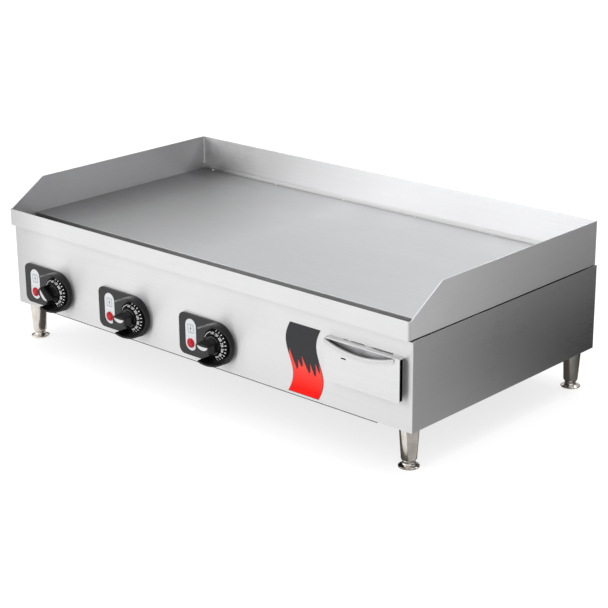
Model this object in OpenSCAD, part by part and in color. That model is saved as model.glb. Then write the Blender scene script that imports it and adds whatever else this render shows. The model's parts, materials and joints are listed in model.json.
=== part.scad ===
// Electric countertop flat top griddle: steel plate with welded splash guards and a grease
// trough on a sheet metal body, three thermostat zones, a grease drawer and four legs.
// Millimetres, +Z up, the front faces -Y.  Heights are measured from the floor, and depths
// from the front panel's outer face until the whole model is centred by rig().

/* [Body] */
// Overall width of body and top assembly
body_w = 914; // [910:1:918]
// Depth of the body, front panel face to rear panel face
body_d = 480; // [478:1:484]
// Height of the body's box
body_h = 143; // [142:0.5:144]
// Height of the legs and feet under the body
leg_h = 67; // [65:1:72]
// Thickness of the body's sheet metal
sheet = 1.2; // [1:0.1:1.4]

/* [Top assembly] */
// Height of the splash guard's top edge above the body
splash_rise = 79; // [74:1:90]
// Thickness of the splash guard and apron sheet
splash_t = 1.5; // [1.2:0.1:1.8]
// Open gap between the body and the top assembly
shadow_gap = 4.5; // [4.5:0.1:5]
// Rise of the side and rear panels above the body's top
panel_lip = 2; // [0:0.1:2.5]
// Height of the front apron
apron_h = 29.5; // [27:0.5:32]
// How far the apron stands in front of the front panel
apron_out = 10; // [8:0.5:12]
// Length of the sloping front of each side guard
slope_len = 73; // [60:1:90]
// Thickness of the griddle plate
plate_t = 13; // [12.5:0.5:13.5]
// Depth position of the plate's front edge
plate_front = 47; // [47:0.5:49]

/* [Controls] */
// Distance between two knobs
knob_pitch = 200; // [190:1:205]
// Sideways position of the left knob
knob_x0 = -343; // [-350:1:-335]
// Height of the knobs above the floor
knob_z = 112; // [110:1:114]
// Turn of the left knob at rest, clockwise from the others
knob_left_turn = 45; // [0:5:60]

/* [Drawer] */
// Sideways position of the drawer's middle
drawer_x = 363; // [362:1:366]
// Width of the drawer front
drawer_w = 137; // [136:1:139]
// Length of the grease pan
pan_len = 390; // [340:5:400]

/* [Hidden] */
$fn = 64;
eps = 0.01;
half_w = body_w / 2;

// Heights
z_body0 = leg_h;
z_body1 = z_body0 + body_h;
z_top0 = z_body1 + shadow_gap;
z_apron1 = z_top0 + apron_h;
z_splash1 = z_body1 + splash_rise;
plate_up = 3;
z_plate0 = z_body1 + plate_up;
z_plate1 = z_plate0 + plate_t;

// Depths
y_apron = -apron_out;
rear_step = 5.5;
y_splash1 = body_d - rear_step;
y_plate1 = y_splash1 - splash_t;
gland_out = 24;
knob_front = 39.5;
mid_y = (body_d + gland_out - knob_front) / 2;

// Corner bend of the apron and the rounding of the guards' upper corners
bend_r = 3;
guard_corner_r = 5;

// Ground weld fillet along the foot of the rear guard
fillet_d = 3;
fillet_h = 9;

// Trough and chute
trough_y0 = 4;
trough_wall = 1.5;
trough_z0 = 188.5;
trough_x = half_w - 4;
chute_y = 25.5;
chute_r = 19.3;
chute_wall = 1.3;
chute_z0 = 172;

// Bezels: the dial end is round, the other end carries the label and the lamp
bezel_left = 89.5;
bezel_r = 36;
bezel_t = 4;
bezel_corner_r = 12;
guard_r = bezel_r - 0.4;
guard_wall = 3;
guard_reach = 30;
guard_open_from = 123;
guard_open_to = 233;
guard_slope = 0.417;
guard_mid = 22;
dial_r = 27;
dial_edge_t = 9.5;
dial_crest_t = 15.2;
dial_t = 10.5;
well_r = 17.3;
label_dx = -62.6;
label_w = 26;
label_h = 56;
label_t = 0.4;
recess_t = 1;
lamp_dz = -14.5;
lens_r = 8;
lamp_r = 6;

// Knobs and thermostats
hub_r = 16.5;
hub_y = 11;
hub_t = 6;
blade_l = 30;
blade_w = 14.4;
shaft_r = 3;
shaft_clear = 0.05;
shaft_back = 26;
screw_dx = 14;
stat_w = 44;
stat_h = 50;
stat_y0 = 8;
stat_y1 = 40;
tag_z = 19.6;

// Heating zones, under the plate
zones = [-295, 0, 295];
rod_r = 4;
rod_gap = 0.2;
rod_z = z_plate0 - rod_r - rod_gap;
run_pitch = 70;
run_y0 = 110;
run_y1 = 412;
rod_end_y = 57;
rod_drop = 16;
clamp_ys = [160, 262, 364];
clamp_t = 3;
clamp_w = 18;
clamp_z1 = rod_z - rod_r - rod_gap;
stud_dx = 70;
stud_r = 3;
pan_z0 = 176.8;
blanket_z0 = pan_z0 + sheet;
blanket_z1 = 197;
blanket_y0 = 66;
blanket_x = 440;
stud_z0 = 172.5;

// Drawer
front_z0 = 114;
front_z1 = 182;
front_y0 = -11.5;
front_t = 1.2;
front_gap = 0.5;
// how far the face reaches past the box on the right, over the edge of the opening
front_over = 9.9;
front_inner_y = -4.2;
bay_half = drawer_w / 2 + 6.2;
pull_depth = 12.8;
pull_half = 68;
pull_r = (pull_half * pull_half + pull_depth * pull_depth) / (2 * pull_depth);
// lip along the pull: distance from the pull's circle, then forward of the face
pull_lip = [
    [0.3, -0.6], [0.3, 0.8], [0.7, 1.9], [1.3, 2.3], [2.4, 2],
    [4.4, 1.1], [7, 0.4], [9.6, 0.1], [9.6, -0.6]
];
// vent slots in the panel just above the drawer, from the middle of the drawer
vent_spans = [[-39.4, -30.2], [-24.4, 2], [16.7, 57]];
vent_z = 183.4;
vent_h = 1.0;
pan_half = 64;
pan_y0 = 4;
grease_z0 = 117;
grease_z1 = 166;
pan_wall = 1.2;
rim_w = 5;
runner_gap = 0.5;

// Legs
leg_x = 433.5;
leg_ys = [23, 453.5];
leg_r1 = 15.7;
leg_r0 = 12.3;
leg_tip_r = 10;
leg_z0 = 10;
stem_r = 5;
stem_clear = 0.05;
rail_w = 68;
rail_t = 2;

// Screws of the rear panel and the bottom cover
screw_r = 2;
cover_drop = 3;
rear_screw_xs = [-445, -150, 100, 445];
rear_screw_zs = [z_body0 + 12, z_body1 - 12];
cover_screw_xs = [-370:185:370];
cover_screw_ys = [18, body_d - 18];

// Where the supply leads run back through the heat shield
supply_x = 145;
supply_z = 82;

// Cord gland in the rear panel
gland_x = 220;
gland_z = 105;
gland_r = 9;

// ---------------------------------------------------------------- helpers

// Centres the model front to back over its footprint
module rig() {
    translate([0, -mid_y, 0]) children();
}

// A box between two corners
module box(lo, hi) {
    translate(lo) cube(hi - lo);
}

// Extrudes a shape drawn in the XZ plane from y0 back to y1
module along_y(y0, y1) {
    translate([0, y1, 0]) rotate([90, 0, 0]) linear_extrude(y1 - y0) children();
}

// Extrudes a shape drawn in the YZ plane from x0 to x1
module along_x(x0, x1) {
    translate([x0, 0, 0]) rotate([90, 0, 90]) linear_extrude(x1 - x0) children();
}

// A round bar along Y
module bar_y(x, z, r, y0, y1) {
    translate([x, y1, z]) rotate([90, 0, 0]) cylinder(r = r, h = y1 - y0);
}

// A round-ended slot centred on the origin
module slot(length, width) {
    square([length - width, width], center = true);
    for (s = [-1, 1]) translate([s * (length - width) / 2, 0]) circle(d = width, $fn = 24);
}

// A rectangle with rounded corners, from one corner to the other
module soft_rect(x0, z0, x1, z1, r) {
    translate([x0 + r, z0 + r]) offset(r = r, $fn = 32) square([x1 - x0 - 2 * r, z1 - z0 - 2 * r]);
}

// A straight round bar between two points
module bar(a, b, r) {
    d = b - a;
    length = norm(d);
    translate(a) rotate([0, acos(d.z / length), atan2(d.y, d.x)]) cylinder(r = r, h = length, $fn = 20);
}

function unit(v) = v / norm(v);

// Rings of a mitred tube: each ring is the one before it, slid along the run to the next mitre
function mitre_rings(points, ring, i = 0) =
    let (
        last = len(points) - 1,
        run_in = unit(points[max(i, 1)] - points[max(i, 1) - 1]),
        run_out = unit(points[min(i + 1, last)] - points[min(i, last - 1)]),
        cut = unit(run_in + run_out),
        placed = [for (q = ring) q + run_in * ((points[i] - q) * cut) / (run_in * cut)]
    )
    i == last ? [placed] : concat([placed], mitre_rings(points, placed, i + 1));

// A wire or small tube through a list of points, with mitred bends
module wire(points, r) {
    n = 8;
    along = unit(points[1] - points[0]);
    side = unit(cross(along, abs(along.z) > 0.9 ? [1, 0, 0] : [0, 0, 1]));
    up = cross(along, side);
    start = [for (k = [0:n - 1]) points[0] + r * (cos(k * 360 / n) * side + sin(k * 360 / n) * up)];
    rings = mitre_rings(points, start);
    count = len(points);
    polyhedron(
        points = [for (ring = rings, q = ring) q],
        faces = concat(
            [[for (k = [0:n - 1]) k]],
            [for (i = [0:count - 2], k = [0:n - 1])
                [i * n + k, (i + 1) * n + k, (i + 1) * n + (k + 1) % n, i * n + (k + 1) % n]],
            [[for (k = [0:n - 1]) count * n - 1 - k]]
        )
    );
}

function knob_at(i) = knob_x0 + i * knob_pitch;
function stud_xs() = [for (zone = zones, s = [-1, 1]) zone + s * stud_dx];

// ---------------------------------------------------------------- top assembly

module griddle_plate() color("silver") rig() {
    edge = half_w - splash_t;
    box([-edge, plate_front, z_plate0], [edge, y_plate1, z_plate1]);
}

// Outline of a side guard, seen from the side
module guard_outline() {
    y0 = y_apron + bend_r + splash_t;
    slope_top = y0 + slope_len;
    slope_angle = atan2(z_splash1 - z_apron1, slope_len);
    tangent = guard_corner_r * tan(slope_angle / 2);
    c = [slope_top + tangent, z_splash1 - guard_corner_r];
    corner = [for (i = [0:6]) let (a = 90 + slope_angle * (1 - i / 6)) c + guard_corner_r * [cos(a), sin(a)]];
    polygon(concat(
        [[y0, z_top0], [y0, z_apron1]],
        corner,
        [[y_splash1, z_splash1], [y_splash1, z_top0]]
    ));
}

module splash_side(side) color("gainsboro") rig() {
    x0 = side > 0 ? half_w - splash_t : -half_w;
    along_x(x0, x0 + splash_t) guard_outline();
}

// The rear guard has a ground weld fillet along the plate
module splash_rear() color("gainsboro") rig() {
    edge = half_w - splash_t;
    along_x(-edge, edge) polygon([
        [y_plate1, z_top0], [y_splash1, z_top0], [y_splash1, z_splash1], [y_plate1, z_splash1],
        [y_plate1, z_plate1 + fillet_h], [y_plate1 - fillet_d, z_plate1], [y_plate1, z_plate1]
    ]);
}

// Band across the front with a bent return at each end, and a ledge back to the trough
module front_apron() color("gainsboro") rig() {
    inner_r = bend_r - splash_t;
    y_return = y_apron + bend_r + splash_t;
    difference() {
        translate([0, 0, z_top0]) linear_extrude(apron_h) union() {
            translate([-half_w, y_apron + bend_r]) square([splash_t, splash_t]);
            translate([half_w - splash_t, y_apron + bend_r]) square([splash_t, splash_t]);
            translate([-half_w + bend_r, y_apron]) square([body_w - 2 * bend_r, splash_t]);
            for (s = [-1, 1]) intersection() {
                translate([s * (half_w - bend_r), y_apron + bend_r]) difference() {
                    circle(r = bend_r);
                    circle(r = inner_r);
                }
                translate([s * (half_w - bend_r / 2), y_apron + bend_r / 2]) square(bend_r, center = true);
            }
        }
        // keeps the returns clear of the side guards
        box([-half_w - 1, y_return, z_top0 - 1], [half_w + 1, y_return + 1, z_apron1 + 1]);
    }
    ledge_x = half_w - splash_t - 0.3;
    box([-ledge_x, y_apron + splash_t, z_top0], [ledge_x, trough_y0, z_top0 + splash_t]);
}

module grease_trough() color("darkgray") rig() {
    z1 = z_top0 + splash_t;
    y_in = trough_y0 + trough_wall;
    difference() {
        union() {
            box([-trough_x, trough_y0, trough_z0], [trough_x, plate_front, z1]);
            box([-half_w + splash_t, trough_y0, z_top0], [half_w - splash_t, plate_front, z1]);
        }
        box([-trough_x + trough_wall, y_in, trough_z0 + trough_wall],
            [trough_x - trough_wall, plate_front - trough_wall, z1 + 1]);
        translate([drawer_x, chute_y, trough_z0 - 1]) cylinder(r = chute_r + 0.1, h = 5);
    }
}

// Round spout under the trough, with a rolled-in flange inside it
module grease_chute() color("darkgray") rig() {
    floor_z = trough_z0 + trough_wall;
    flange_t = 0.9;
    flange_w = 0.6;
    translate([drawer_x, chute_y, 0]) rotate_extrude() {
        translate([chute_r - chute_wall, chute_z0]) square([chute_wall, floor_z + flange_t - chute_z0]);
        translate([chute_r - chute_wall, floor_z]) square([chute_wall + flange_w, flange_t]);
    }
}

// Weld beads up the two rear corners, and the plug welds along the rear guard's foot
module corner_welds() color("lightgray") rig() {
    bead = 2.2;
    dot_r = 1.8;
    edge = half_w - splash_t;
    z0 = z_plate1 + fillet_h;
    z1 = z_splash1 - 0.5;
    for (s = [-1, 1]) intersection() {
        translate([s * edge, y_plate1, z0]) cylinder(r = bead, h = z1 - z0);
        translate([s * (edge - bead), y_plate1 - bead, 0]) cube([2 * bead, 2 * bead, 2 * z1], center = true);
    }
    for (x = [-427:170:423]) translate([x, y_plate1 - fillet_d - dot_r - 0.1, z_plate1]) intersection() {
        sphere(r = dot_r, $fn = 20);
        translate([0, 0, dot_r]) cube(2 * dot_r, center = true);
    }
}

// ---------------------------------------------------------------- body

module front_panel() color("whitesmoke") rig() {
    along_y(0, sheet) difference() {
        translate([-half_w, z_body0]) square([body_w, body_h]);
        for (i = [0:2]) translate([knob_at(i), knob_z]) {
            circle(r = shaft_r + 3);
            translate([label_dx, lamp_dz]) circle(r = lamp_r + 0.3);
            for (s = [-1, 1]) translate([s * screw_dx, 0]) circle(r = 2.1, $fn = 24);
        }
        soft_rect(drawer_x - bay_half, front_z0 - 1.6, drawer_x + bay_half, front_z1 - 1.2, 3);
        for (span = vent_spans) translate([drawer_x + span[0], vent_z]) square([span[1] - span[0], vent_h]);
    }
}

// Side sheet with a flange along its top, which carries the plate's spacers
module side_panel(side) color("gray") rig() {
    flange = 24;
    y0 = sheet;
    y1 = body_d - sheet;
    along_y(y0, y1) translate([side > 0 ? half_w - sheet : -half_w, z_body0])
        square([sheet, body_h + panel_lip]);
    x0 = side > 0 ? half_w - flange : -half_w + sheet;
    box([x0, 55, z_body1 - sheet], [x0 + flange - sheet, y1, z_body1]);
}

module rear_panel() color("gray") rig() {
    vent_l = 46;
    vent_w = 6;
    along_y(body_d - sheet, body_d) difference() {
        translate([-half_w, z_body0]) square([body_w, body_h + panel_lip]);
        translate([gland_x, gland_z]) circle(r = gland_r + 3.2);
        for (x = rear_screw_xs, z = rear_screw_zs) translate([x, z]) circle(r = screw_r + 0.2, $fn = 24);
        for (group = [-260, 0], i = [-5:5]) translate([group + i * 14, 150]) rotate(90) slot(vent_l, vent_w);
    }
}

// Service cover between the leg rails, hanging just below the body
module bottom_cover() color("dimgray") rig() {
    edge = half_w - rail_w - 1.5;
    drop = cover_drop;
    inset = 3;
    flange_z = z_body0 + 9;
    difference() {
        union() {
            box([-edge, inset, z_body0 - drop], [edge, body_d - inset, z_body0 - drop + sheet]);
            box([-edge, inset, z_body0 - drop], [edge, inset + sheet, flange_z]);
            box([-edge, body_d - inset - sheet, z_body0 - drop], [edge, body_d - inset, flange_z]);
        }
        for (row = [-1, 1], i = [-9:9]) translate([i * 36, body_d / 2 + row * 90, z_body0 - drop - 1])
            linear_extrude(5) rotate(90) slot(90, 7);
        for (x = cover_screw_xs, y = cover_screw_ys)
            translate([x, y, z_body0 - drop - 1]) cylinder(r = screw_r + 0.2, h = 5, $fn = 24);
    }
}

module leg_rail(side) color("gray") rig() {
    x0 = side > 0 ? half_w - rail_w : -half_w + sheet + 0.2;
    x1 = x0 + rail_w - sheet - 0.2;
    difference() {
        box([x0, sheet + 0.2, z_body0], [x1, body_d - sheet - 0.2, z_body0 + rail_t]);
        for (y = leg_ys) translate([side * leg_x, y, z_body0 - 1]) cylinder(r = stem_r + 0.3, h = rail_t + 2);
    }
}

// Pan head screws that hold the rear panel and the bottom cover
module panel_screws() color("silver") rig() {
    head_r = 4;
    head_h = 2.2;
    shank = 8;
    for (x = rear_screw_xs, z = rear_screw_zs) {
        bar_y(x, z, head_r, body_d, body_d + head_h);
        bar_y(x, z, screw_r, body_d - shank, body_d + eps);
    }
    for (x = cover_screw_xs, y = cover_screw_ys) translate([x, y, z_body0 - cover_drop]) {
        translate([0, 0, -head_h]) cylinder(r = head_r, h = head_h);
        translate([0, 0, -eps]) cylinder(r = screw_r, h = shank);
    }
}

// Steel pads between the side flanges and the plate
module plate_spacers() color("dimgray") rig() {
    for (s = [-1, 1], y = [80, 200, 320, 440])
        translate([s * (half_w - 17), y, z_body1]) cylinder(r = 6, h = plate_up, $fn = 32);
}

// ---------------------------------------------------------------- heating

// Half turn between two runs of a rod
module rod_bend() {
    rotate_extrude(angle = 180) translate([run_pitch / 2, 0]) circle(r = rod_r, $fn = 20);
}

// A rod in four runs, joined by three bends, with its two ends turned down in front
module heating_element(zone) color("sienna") rig() {
    inner = run_pitch / 2;
    outer = inner + run_pitch;
    pin_r = 2;
    pin_l = 6;
    translate([zone, 0, rod_z]) {
        for (s = [-1, 1]) {
            bar([s * outer, rod_end_y, 0], [s * outer, run_y1, 0], rod_r);
            bar([s * inner, run_y0, 0], [s * inner, run_y1, 0], rod_r);
            translate([s * run_pitch, run_y1, 0]) rod_bend();
            translate([s * outer, rod_end_y, 0]) sphere(r = rod_r * 1.05, $fn = 20);
            bar([s * outer, rod_end_y, -rod_drop], [s * outer, rod_end_y, 0], rod_r);
            bar([s * outer, rod_end_y, -rod_drop - pin_l], [s * outer, rod_end_y, -rod_drop], pin_r);
        }
        translate([0, run_y0, 0]) rotate([0, 0, 180]) rod_bend();
    }
}

module element_clamps() color("darkgray") rig() {
    reach = 1.5 * run_pitch + 8;
    for (zone = zones, y = clamp_ys) difference() {
        box([zone - reach, y - clamp_w / 2, clamp_z1 - clamp_t], [zone + reach, y + clamp_w / 2, clamp_z1]);
        for (s = [-1, 1]) translate([zone + s * stud_dx, y, clamp_z1 - clamp_t - 1])
            cylinder(r = stud_r + 0.3, h = clamp_t + 2, $fn = 24);
    }
}

// Studs welded under the plate, each with a nut under its clamp and one under the pan
module clamp_studs() color("lightgray") rig() {
    nut_r = 5.8;
    nut_h = 3;
    for (x = stud_xs(), y = clamp_ys) translate([x, y, 0]) {
        translate([0, 0, stud_z0]) cylinder(r = stud_r, h = z_plate0 - stud_z0, $fn = 24);
        translate([0, 0, clamp_z1 - clamp_t - nut_h]) cylinder(r = nut_r, h = nut_h, $fn = 6);
        translate([0, 0, pan_z0 - nut_h]) cylinder(r = nut_r, h = nut_h, $fn = 6);
    }
}

module insulation_blanket() color("lightyellow") rig() {
    difference() {
        box([-blanket_x, blanket_y0, blanket_z0], [blanket_x, body_d - 12, blanket_z1]);
        for (x = stud_xs(), y = clamp_ys) translate([x, y, blanket_z0 - 1])
            cylinder(r = 6.5, h = blanket_z1 - blanket_z0 + 2, $fn = 24);
    }
}

// Tray that holds the blanket up against the elements
module insulation_pan() color("gray") rig() {
    lip = 14;
    edge = blanket_x + 2;
    y0 = blanket_y0 - 2;
    y1 = body_d - 10;
    difference() {
        union() {
            box([-edge, y0, pan_z0], [edge, y1, pan_z0 + sheet]);
            box([-edge, y0, pan_z0], [edge, y0 + sheet, pan_z0 + lip]);
            box([-edge, y1 - sheet, pan_z0], [edge, y1, pan_z0 + lip]);
        }
        for (x = stud_xs(), y = clamp_ys) translate([x, y, pan_z0 - 1])
            cylinder(r = stud_r + 0.4, h = sheet + 2, $fn = 24);
    }
}

// Upright sheet between the control bay and the space under the insulation
module heat_shield() color("gray") rig() {
    y0 = blanket_y0 - 4;
    difference() {
        box([-half_w + 3, y0, z_body0 + rail_t], [drawer_x - bay_half - 4, y0 + sheet, pan_z0]);
        bar_y(supply_x, supply_z, 12, y0 - 1, y0 + sheet + 1);
    }
}

// Thermostat bulbs along the plate's underside, each with its capillary
module sensor_bulbs() color("peru") rig() {
    bulb_r = 3.1;
    z = z_plate0 - bulb_r - 0.2;
    z_under = blanket_z1 + 2.3;
    z_cross = knob_z + 38;
    for (i = [0:2]) {
        x = zones[i];
        x_down = min(x, drawer_x - bay_half - 22);
        bar_y(x, z, bulb_r, 190, 320);
        wire([
            [x, 191, z], [x, 184, z], [x, 176, z_under], [x, 55, z_under],
            [x_down, 52, z_under - 6], [x_down, 52, z_cross],
            [knob_at(i), 32, z_cross], [knob_at(i), 32, knob_z + stat_h / 2]
        ], 1);
    }
}

// ---------------------------------------------------------------- controls

// Capillary thermostat: a strap on the panel's inner face, a bushing and a case
module thermostat(i) color("burlywood") rig() {
    translate([knob_at(i), 0, knob_z]) difference() {
        union() {
            box([-stat_w / 2, stat_y0, -stat_h / 2], [stat_w / 2, stat_y1, stat_h / 2]);
            box([-screw_dx - 5, sheet + 0.1, -7], [screw_dx + 5, sheet + 2.1, 7]);
            bar_y(0, 0, shaft_r + 2, sheet + 1, stat_y0 + 1);
            for (s = [-1, 1], t = [-1, 1])
                box([s * 10 - 3, stat_y1 - 1, t * tag_z - 0.4], [s * 10 + 3, stat_y1 + 7, t * tag_z + 0.4]);
        }
        bar_y(0, 0, shaft_r + shaft_clear, 0, shaft_back + 1);
        for (s = [-1, 1]) bar_y(s * screw_dx, 0, 2.1, 0, stat_y0 - 0.5);
    }
}

// Two screws for each thermostat, heads under the bezel
module thermostat_screws() color("silver") rig() {
    for (i = [0:2], s = [-1, 1]) {
        bar_y(knob_at(i) + s * screw_dx, knob_z, 2, 0, 7);
        bar_y(knob_at(i) + s * screw_dx, knob_z, 3.6, -2, 0);
    }
}

// Backplate of a bezel: round at the dial end, with two rounded corners at the other
module bezel_outline() {
    x_corner = -bezel_left + bezel_corner_r;
    z_corner = bezel_r - bezel_corner_r;
    circle(r = bezel_r);
    translate([x_corner, -bezel_r]) square([-x_corner, 2 * bezel_r]);
    translate([-bezel_left, -z_corner]) square([bezel_corner_r + 1, 2 * z_corner]);
    for (s = [-1, 1]) translate([x_corner, s * z_corner]) circle(r = bezel_corner_r);
}

// Raised dial ring around the well that the knob's hub turns in
module dial() {
    base = bezel_t - 1;
    translate([0, -base, 0]) rotate([90, 0, 0]) rotate_extrude() polygon([
        [0, 0], [dial_r, 0], [dial_r, dial_edge_t - base], [well_r, dial_crest_t - base],
        [well_r, dial_t - base], [0, dial_t - base]
    ]);
}

// Moulded bezel: backplate, conical dial with a well, and a collar whose rim slopes back to the right
module bezel(i) color("dimgray") rig() {
    translate([knob_at(i), 0, knob_z]) difference() {
        union() {
            along_y(-bezel_t, 0) bezel_outline();
            dial();
            intersection() {
                difference() {
                    bar_y(0, 0, guard_r, -guard_reach, -bezel_t + 1);
                    bar_y(0, 0, guard_r - guard_wall, -guard_reach - 1, 0);
                    along_y(-guard_reach - 1, 1) polygon([
                        [0, 0],
                        80 * [cos(guard_open_from), sin(guard_open_from)],
                        [-90, 0],
                        80 * [cos(guard_open_to), sin(guard_open_to)]
                    ]);
                }
                // everything behind the sloping rim
                translate([0, 0, -50]) linear_extrude(100) polygon([
                    [-60, -guard_mid - 60 * guard_slope], [60, -guard_mid + 60 * guard_slope],
                    [60, 10], [-60, 10]
                ]);
            }
        }
        bar_y(0, 0, shaft_r + 2.5, -dial_t - 1, 1);
        translate([label_dx, 0, lamp_dz]) bar_y(0, 0, lamp_r + 0.3, -bezel_t - 1, 1);
        for (s = [-1, 1]) bar_y(s * screw_dx, 0, 4.5, -3, 1);
        translate([label_dx, 0, 0]) along_y(-bezel_t - 1, -bezel_t + recess_t)
            rotate(90) slot(label_h, label_w);
    }
}

module label(i) color("lightgray") rig() {
    y1 = -bezel_t + recess_t;
    translate([knob_at(i) + label_dx, 0, knob_z]) along_y(y1 - label_t, y1) difference() {
        rotate(90) slot(label_h - 1, label_w - 1);
        translate([0, lamp_dz]) circle(r = lamp_r + 0.3);
    }
}

// Neon pilot lamp: flanged lens in front, barrel behind, two tags
module pilot_lamp(i) color("red") rig() {
    y_seat = -bezel_t + recess_t - label_t;
    translate([knob_at(i) + label_dx, 0, knob_z + lamp_dz]) {
        bar_y(0, 0, lens_r, y_seat - 2, y_seat);
        bar_y(0, 0, lens_r - 1.4, y_seat - 3.2, y_seat - 2);
        bar_y(0, 0, lamp_r, y_seat - 1, 24);
        for (s = [-1, 1]) box([s * 3 - 0.4, 23, -2.4], [s * 3 + 0.4, 31, 2.4]);
    }
}

// Rest turn of each knob, clockwise seen from the front
function knob_turn(i) = i == 0 ? knob_left_turn : 0;

// Skirted hub with a finger blade, on the thermostat's shaft
module knob(i) color("black") rig() {
    translate([knob_at(i), 0, knob_z]) rotate([0, knob_turn(i), 0]) difference() {
        union() {
            bar_y(0, 0, hub_r, -hub_y - hub_t, -hub_y);
            bar_y(0, 0, hub_r - 3, -hub_y - hub_t - 4, -hub_y - hub_t + eps);
            along_y(-knob_front, -hub_y - 1)
                soft_rect(-blade_l / 2, -blade_w / 2, blade_l / 2, blade_w / 2, 2.6);
            bar_y(0, 0, shaft_r, -hub_y - 1, shaft_back);
        }
        // flat moulded relief along each side of the blade
        for (s = [-1, 1]) translate([0, 0, s * (blade_w / 2 + 0.2)])
            box([-7, -knob_front - 1, -0.7], [7, -hub_y - hub_t - 5, 0.7]);
    }
}

// ---------------------------------------------------------------- wiring

module wiring_leads() color("firebrick") rig() {
    lead_r = 1.3;
    end_z = rod_z - rod_drop - 7.5;
    tag_y = stat_y1 + 7.3;
    block_y = body_d - sheet - 26.3;
    block_z = 105;
    for (i = [0:2]) {
        x_left = knob_at(i) - 10;
        x_right = knob_at(i) + 10;
        // element to thermostat
        for (s = [-1, 1]) {
            x_end = zones[i] + s * 1.5 * run_pitch;
            x_tag = s > 0 ? x_right : x_left;
            x_mid = min(x_end, drawer_x - bay_half - 10);
            y_mid = rod_end_y - s * 2;
            over = x_end > x_mid ? [[x_end, rod_end_y, end_z - 4], [x_mid, y_mid, end_z - 4]] : [];
            wire(concat(
                [[x_end, rod_end_y, end_z]],
                over,
                [[x_mid, y_mid, 124 + s * 8], [x_tag, 53, 94 + s * 5], [x_tag, tag_y, knob_z - tag_z]]
            ), lead_r);
        }
        // thermostat to terminal block
        x_run = supply_x + (1 - i) * 5;
        y_run = 50.5;
        z_run = 144 - i * 4;
        wire([
            [x_right, tag_y, knob_z + tag_z], [x_right, y_run, z_run],
            [x_run, y_run, z_run], [x_run, y_run, supply_z],
            [x_run, 440, supply_z], [x_run, 440, block_z], [x_run, block_y, block_z]
        ], lead_r);
        // lamp to thermostat
        x_lamp = knob_at(i) + label_dx + 3;
        z_lamp = knob_z + lamp_dz;
        wire([
            [x_lamp, 31.3, z_lamp], [x_lamp, 50, z_lamp],
            [x_left, 50, knob_z + tag_z + 3], [x_left, tag_y, knob_z + tag_z]
        ], lead_r * 0.7);
    }
}

// Screw terminal strip on the inside of the rear panel
module terminal_block() color("ivory") rig() {
    block_w = 72;
    pole = 17;
    y1 = body_d - sheet;
    difference() {
        box([supply_x - block_w / 2, y1 - 26, 88], [supply_x + block_w / 2, y1, 122]);
        for (i = [-1.5:1.5]) translate([supply_x + i * pole - 5.5, y1 - 27, 92]) cube([11, 3, 26]);
    }
    for (i = [-1.5:1.5]) bar_y(supply_x + i * pole, 96.5, 3.5, y1 - 26, y1 - 23);
}

module ground_lug() color("goldenrod") rig() {
    y1 = body_d - sheet;
    bar_y(gland_x + 45, 90, 3, y1 - 16, y1);
    translate([gland_x + 45, y1 - 4, 90]) rotate([90, 0, 0]) cylinder(r = 6, h = 5, $fn = 6);
}

// Cable gland: hexagon flange, threaded barrel and domed cap around a clear bore
module cord_gland() color("black") rig() {
    y1 = body_d;
    translate([gland_x, 0, gland_z]) difference() {
        union() {
            translate([0, y1 + 7, 0]) rotate([90, 0, 0]) cylinder(r = 19, h = 7, $fn = 6);
            bar_y(0, 0, gland_r + 7, y1 + 6, y1 + 16);
            translate([0, y1 + 16, 0]) rotate([-90, 0, 0])
                cylinder(r1 = gland_r + 7, r2 = gland_r + 3, h = gland_out - 16);
            bar_y(0, 0, gland_r + 3, y1 - 16, y1 + 1);
        }
        bar_y(0, 0, gland_r, y1 - 20, y1 + gland_out + 1);
    }
}

module gland_locknut() color("black") rig() {
    y1 = body_d - sheet;
    translate([gland_x, y1, gland_z]) rotate([90, 0, 0]) difference() {
        cylinder(r = 18, h = 6, $fn = 6);
        translate([0, 0, -1]) cylinder(r = gland_r + 3.1, h = 8);
    }
}

// ---------------------------------------------------------------- drawer

// Folded drawer front: a face with a bowed cut-out, its rolled lip, and a hood above it
module drawer_front() color("whitesmoke") rig() {
    x0 = drawer_x - drawer_w / 2;
    x1 = drawer_x + drawer_w / 2;
    x_face = x1 + front_over;
    y_rear = -front_gap;
    y_inner = front_inner_y + front_t;
    z_top = front_z1 + 1.2;
    arc_z = front_z1 - pull_depth + pull_r;
    sweep = 2 * asin(pull_half / pull_r);
    // face
    along_y(front_y0, front_y0 + front_t) difference() {
        translate([x0, front_z0]) square([x_face - x0, front_z1 - front_z0 + eps]);
        translate([drawer_x, arc_z]) circle(r = pull_r, $fn = 180);
        translate([drawer_x - 30, 157.4]) slot(10, 2.2);
    }
    // lip that flares forward along the pull
    intersection() {
        translate([drawer_x, front_y0, arc_z]) rotate([90, 0, 0]) rotate([0, 0, -90 - sweep / 2])
            rotate_extrude(angle = sweep, $fn = 180) translate([pull_r, 0]) polygon(pull_lip);
        box([x0 + 0.4, front_y0 - 5, front_z0], [x1 - 0.4, 0, front_z1 - 0.4]);
    }
    // folds: top, sides and foot, with the inner sheet behind the pull
    box([x0, front_y0, front_z1], [x_face, y_rear, z_top]);
    for (x = [x0, x1 - front_t]) box([x, front_y0, front_z0], [x + front_t, y_rear, z_top]);
    box([x0, front_y0, front_z0], [x1, y_rear, front_z0 + front_t]);
    box([x0, front_inner_y, front_z0], [x1, y_inner, z_top]);
    // brackets to the pan
    for (s = [-1, 1]) translate([drawer_x + s * 46, 0, 0])
        box([-8, y_inner - eps, 122], [8, pan_y0, 152]);
}

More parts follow.
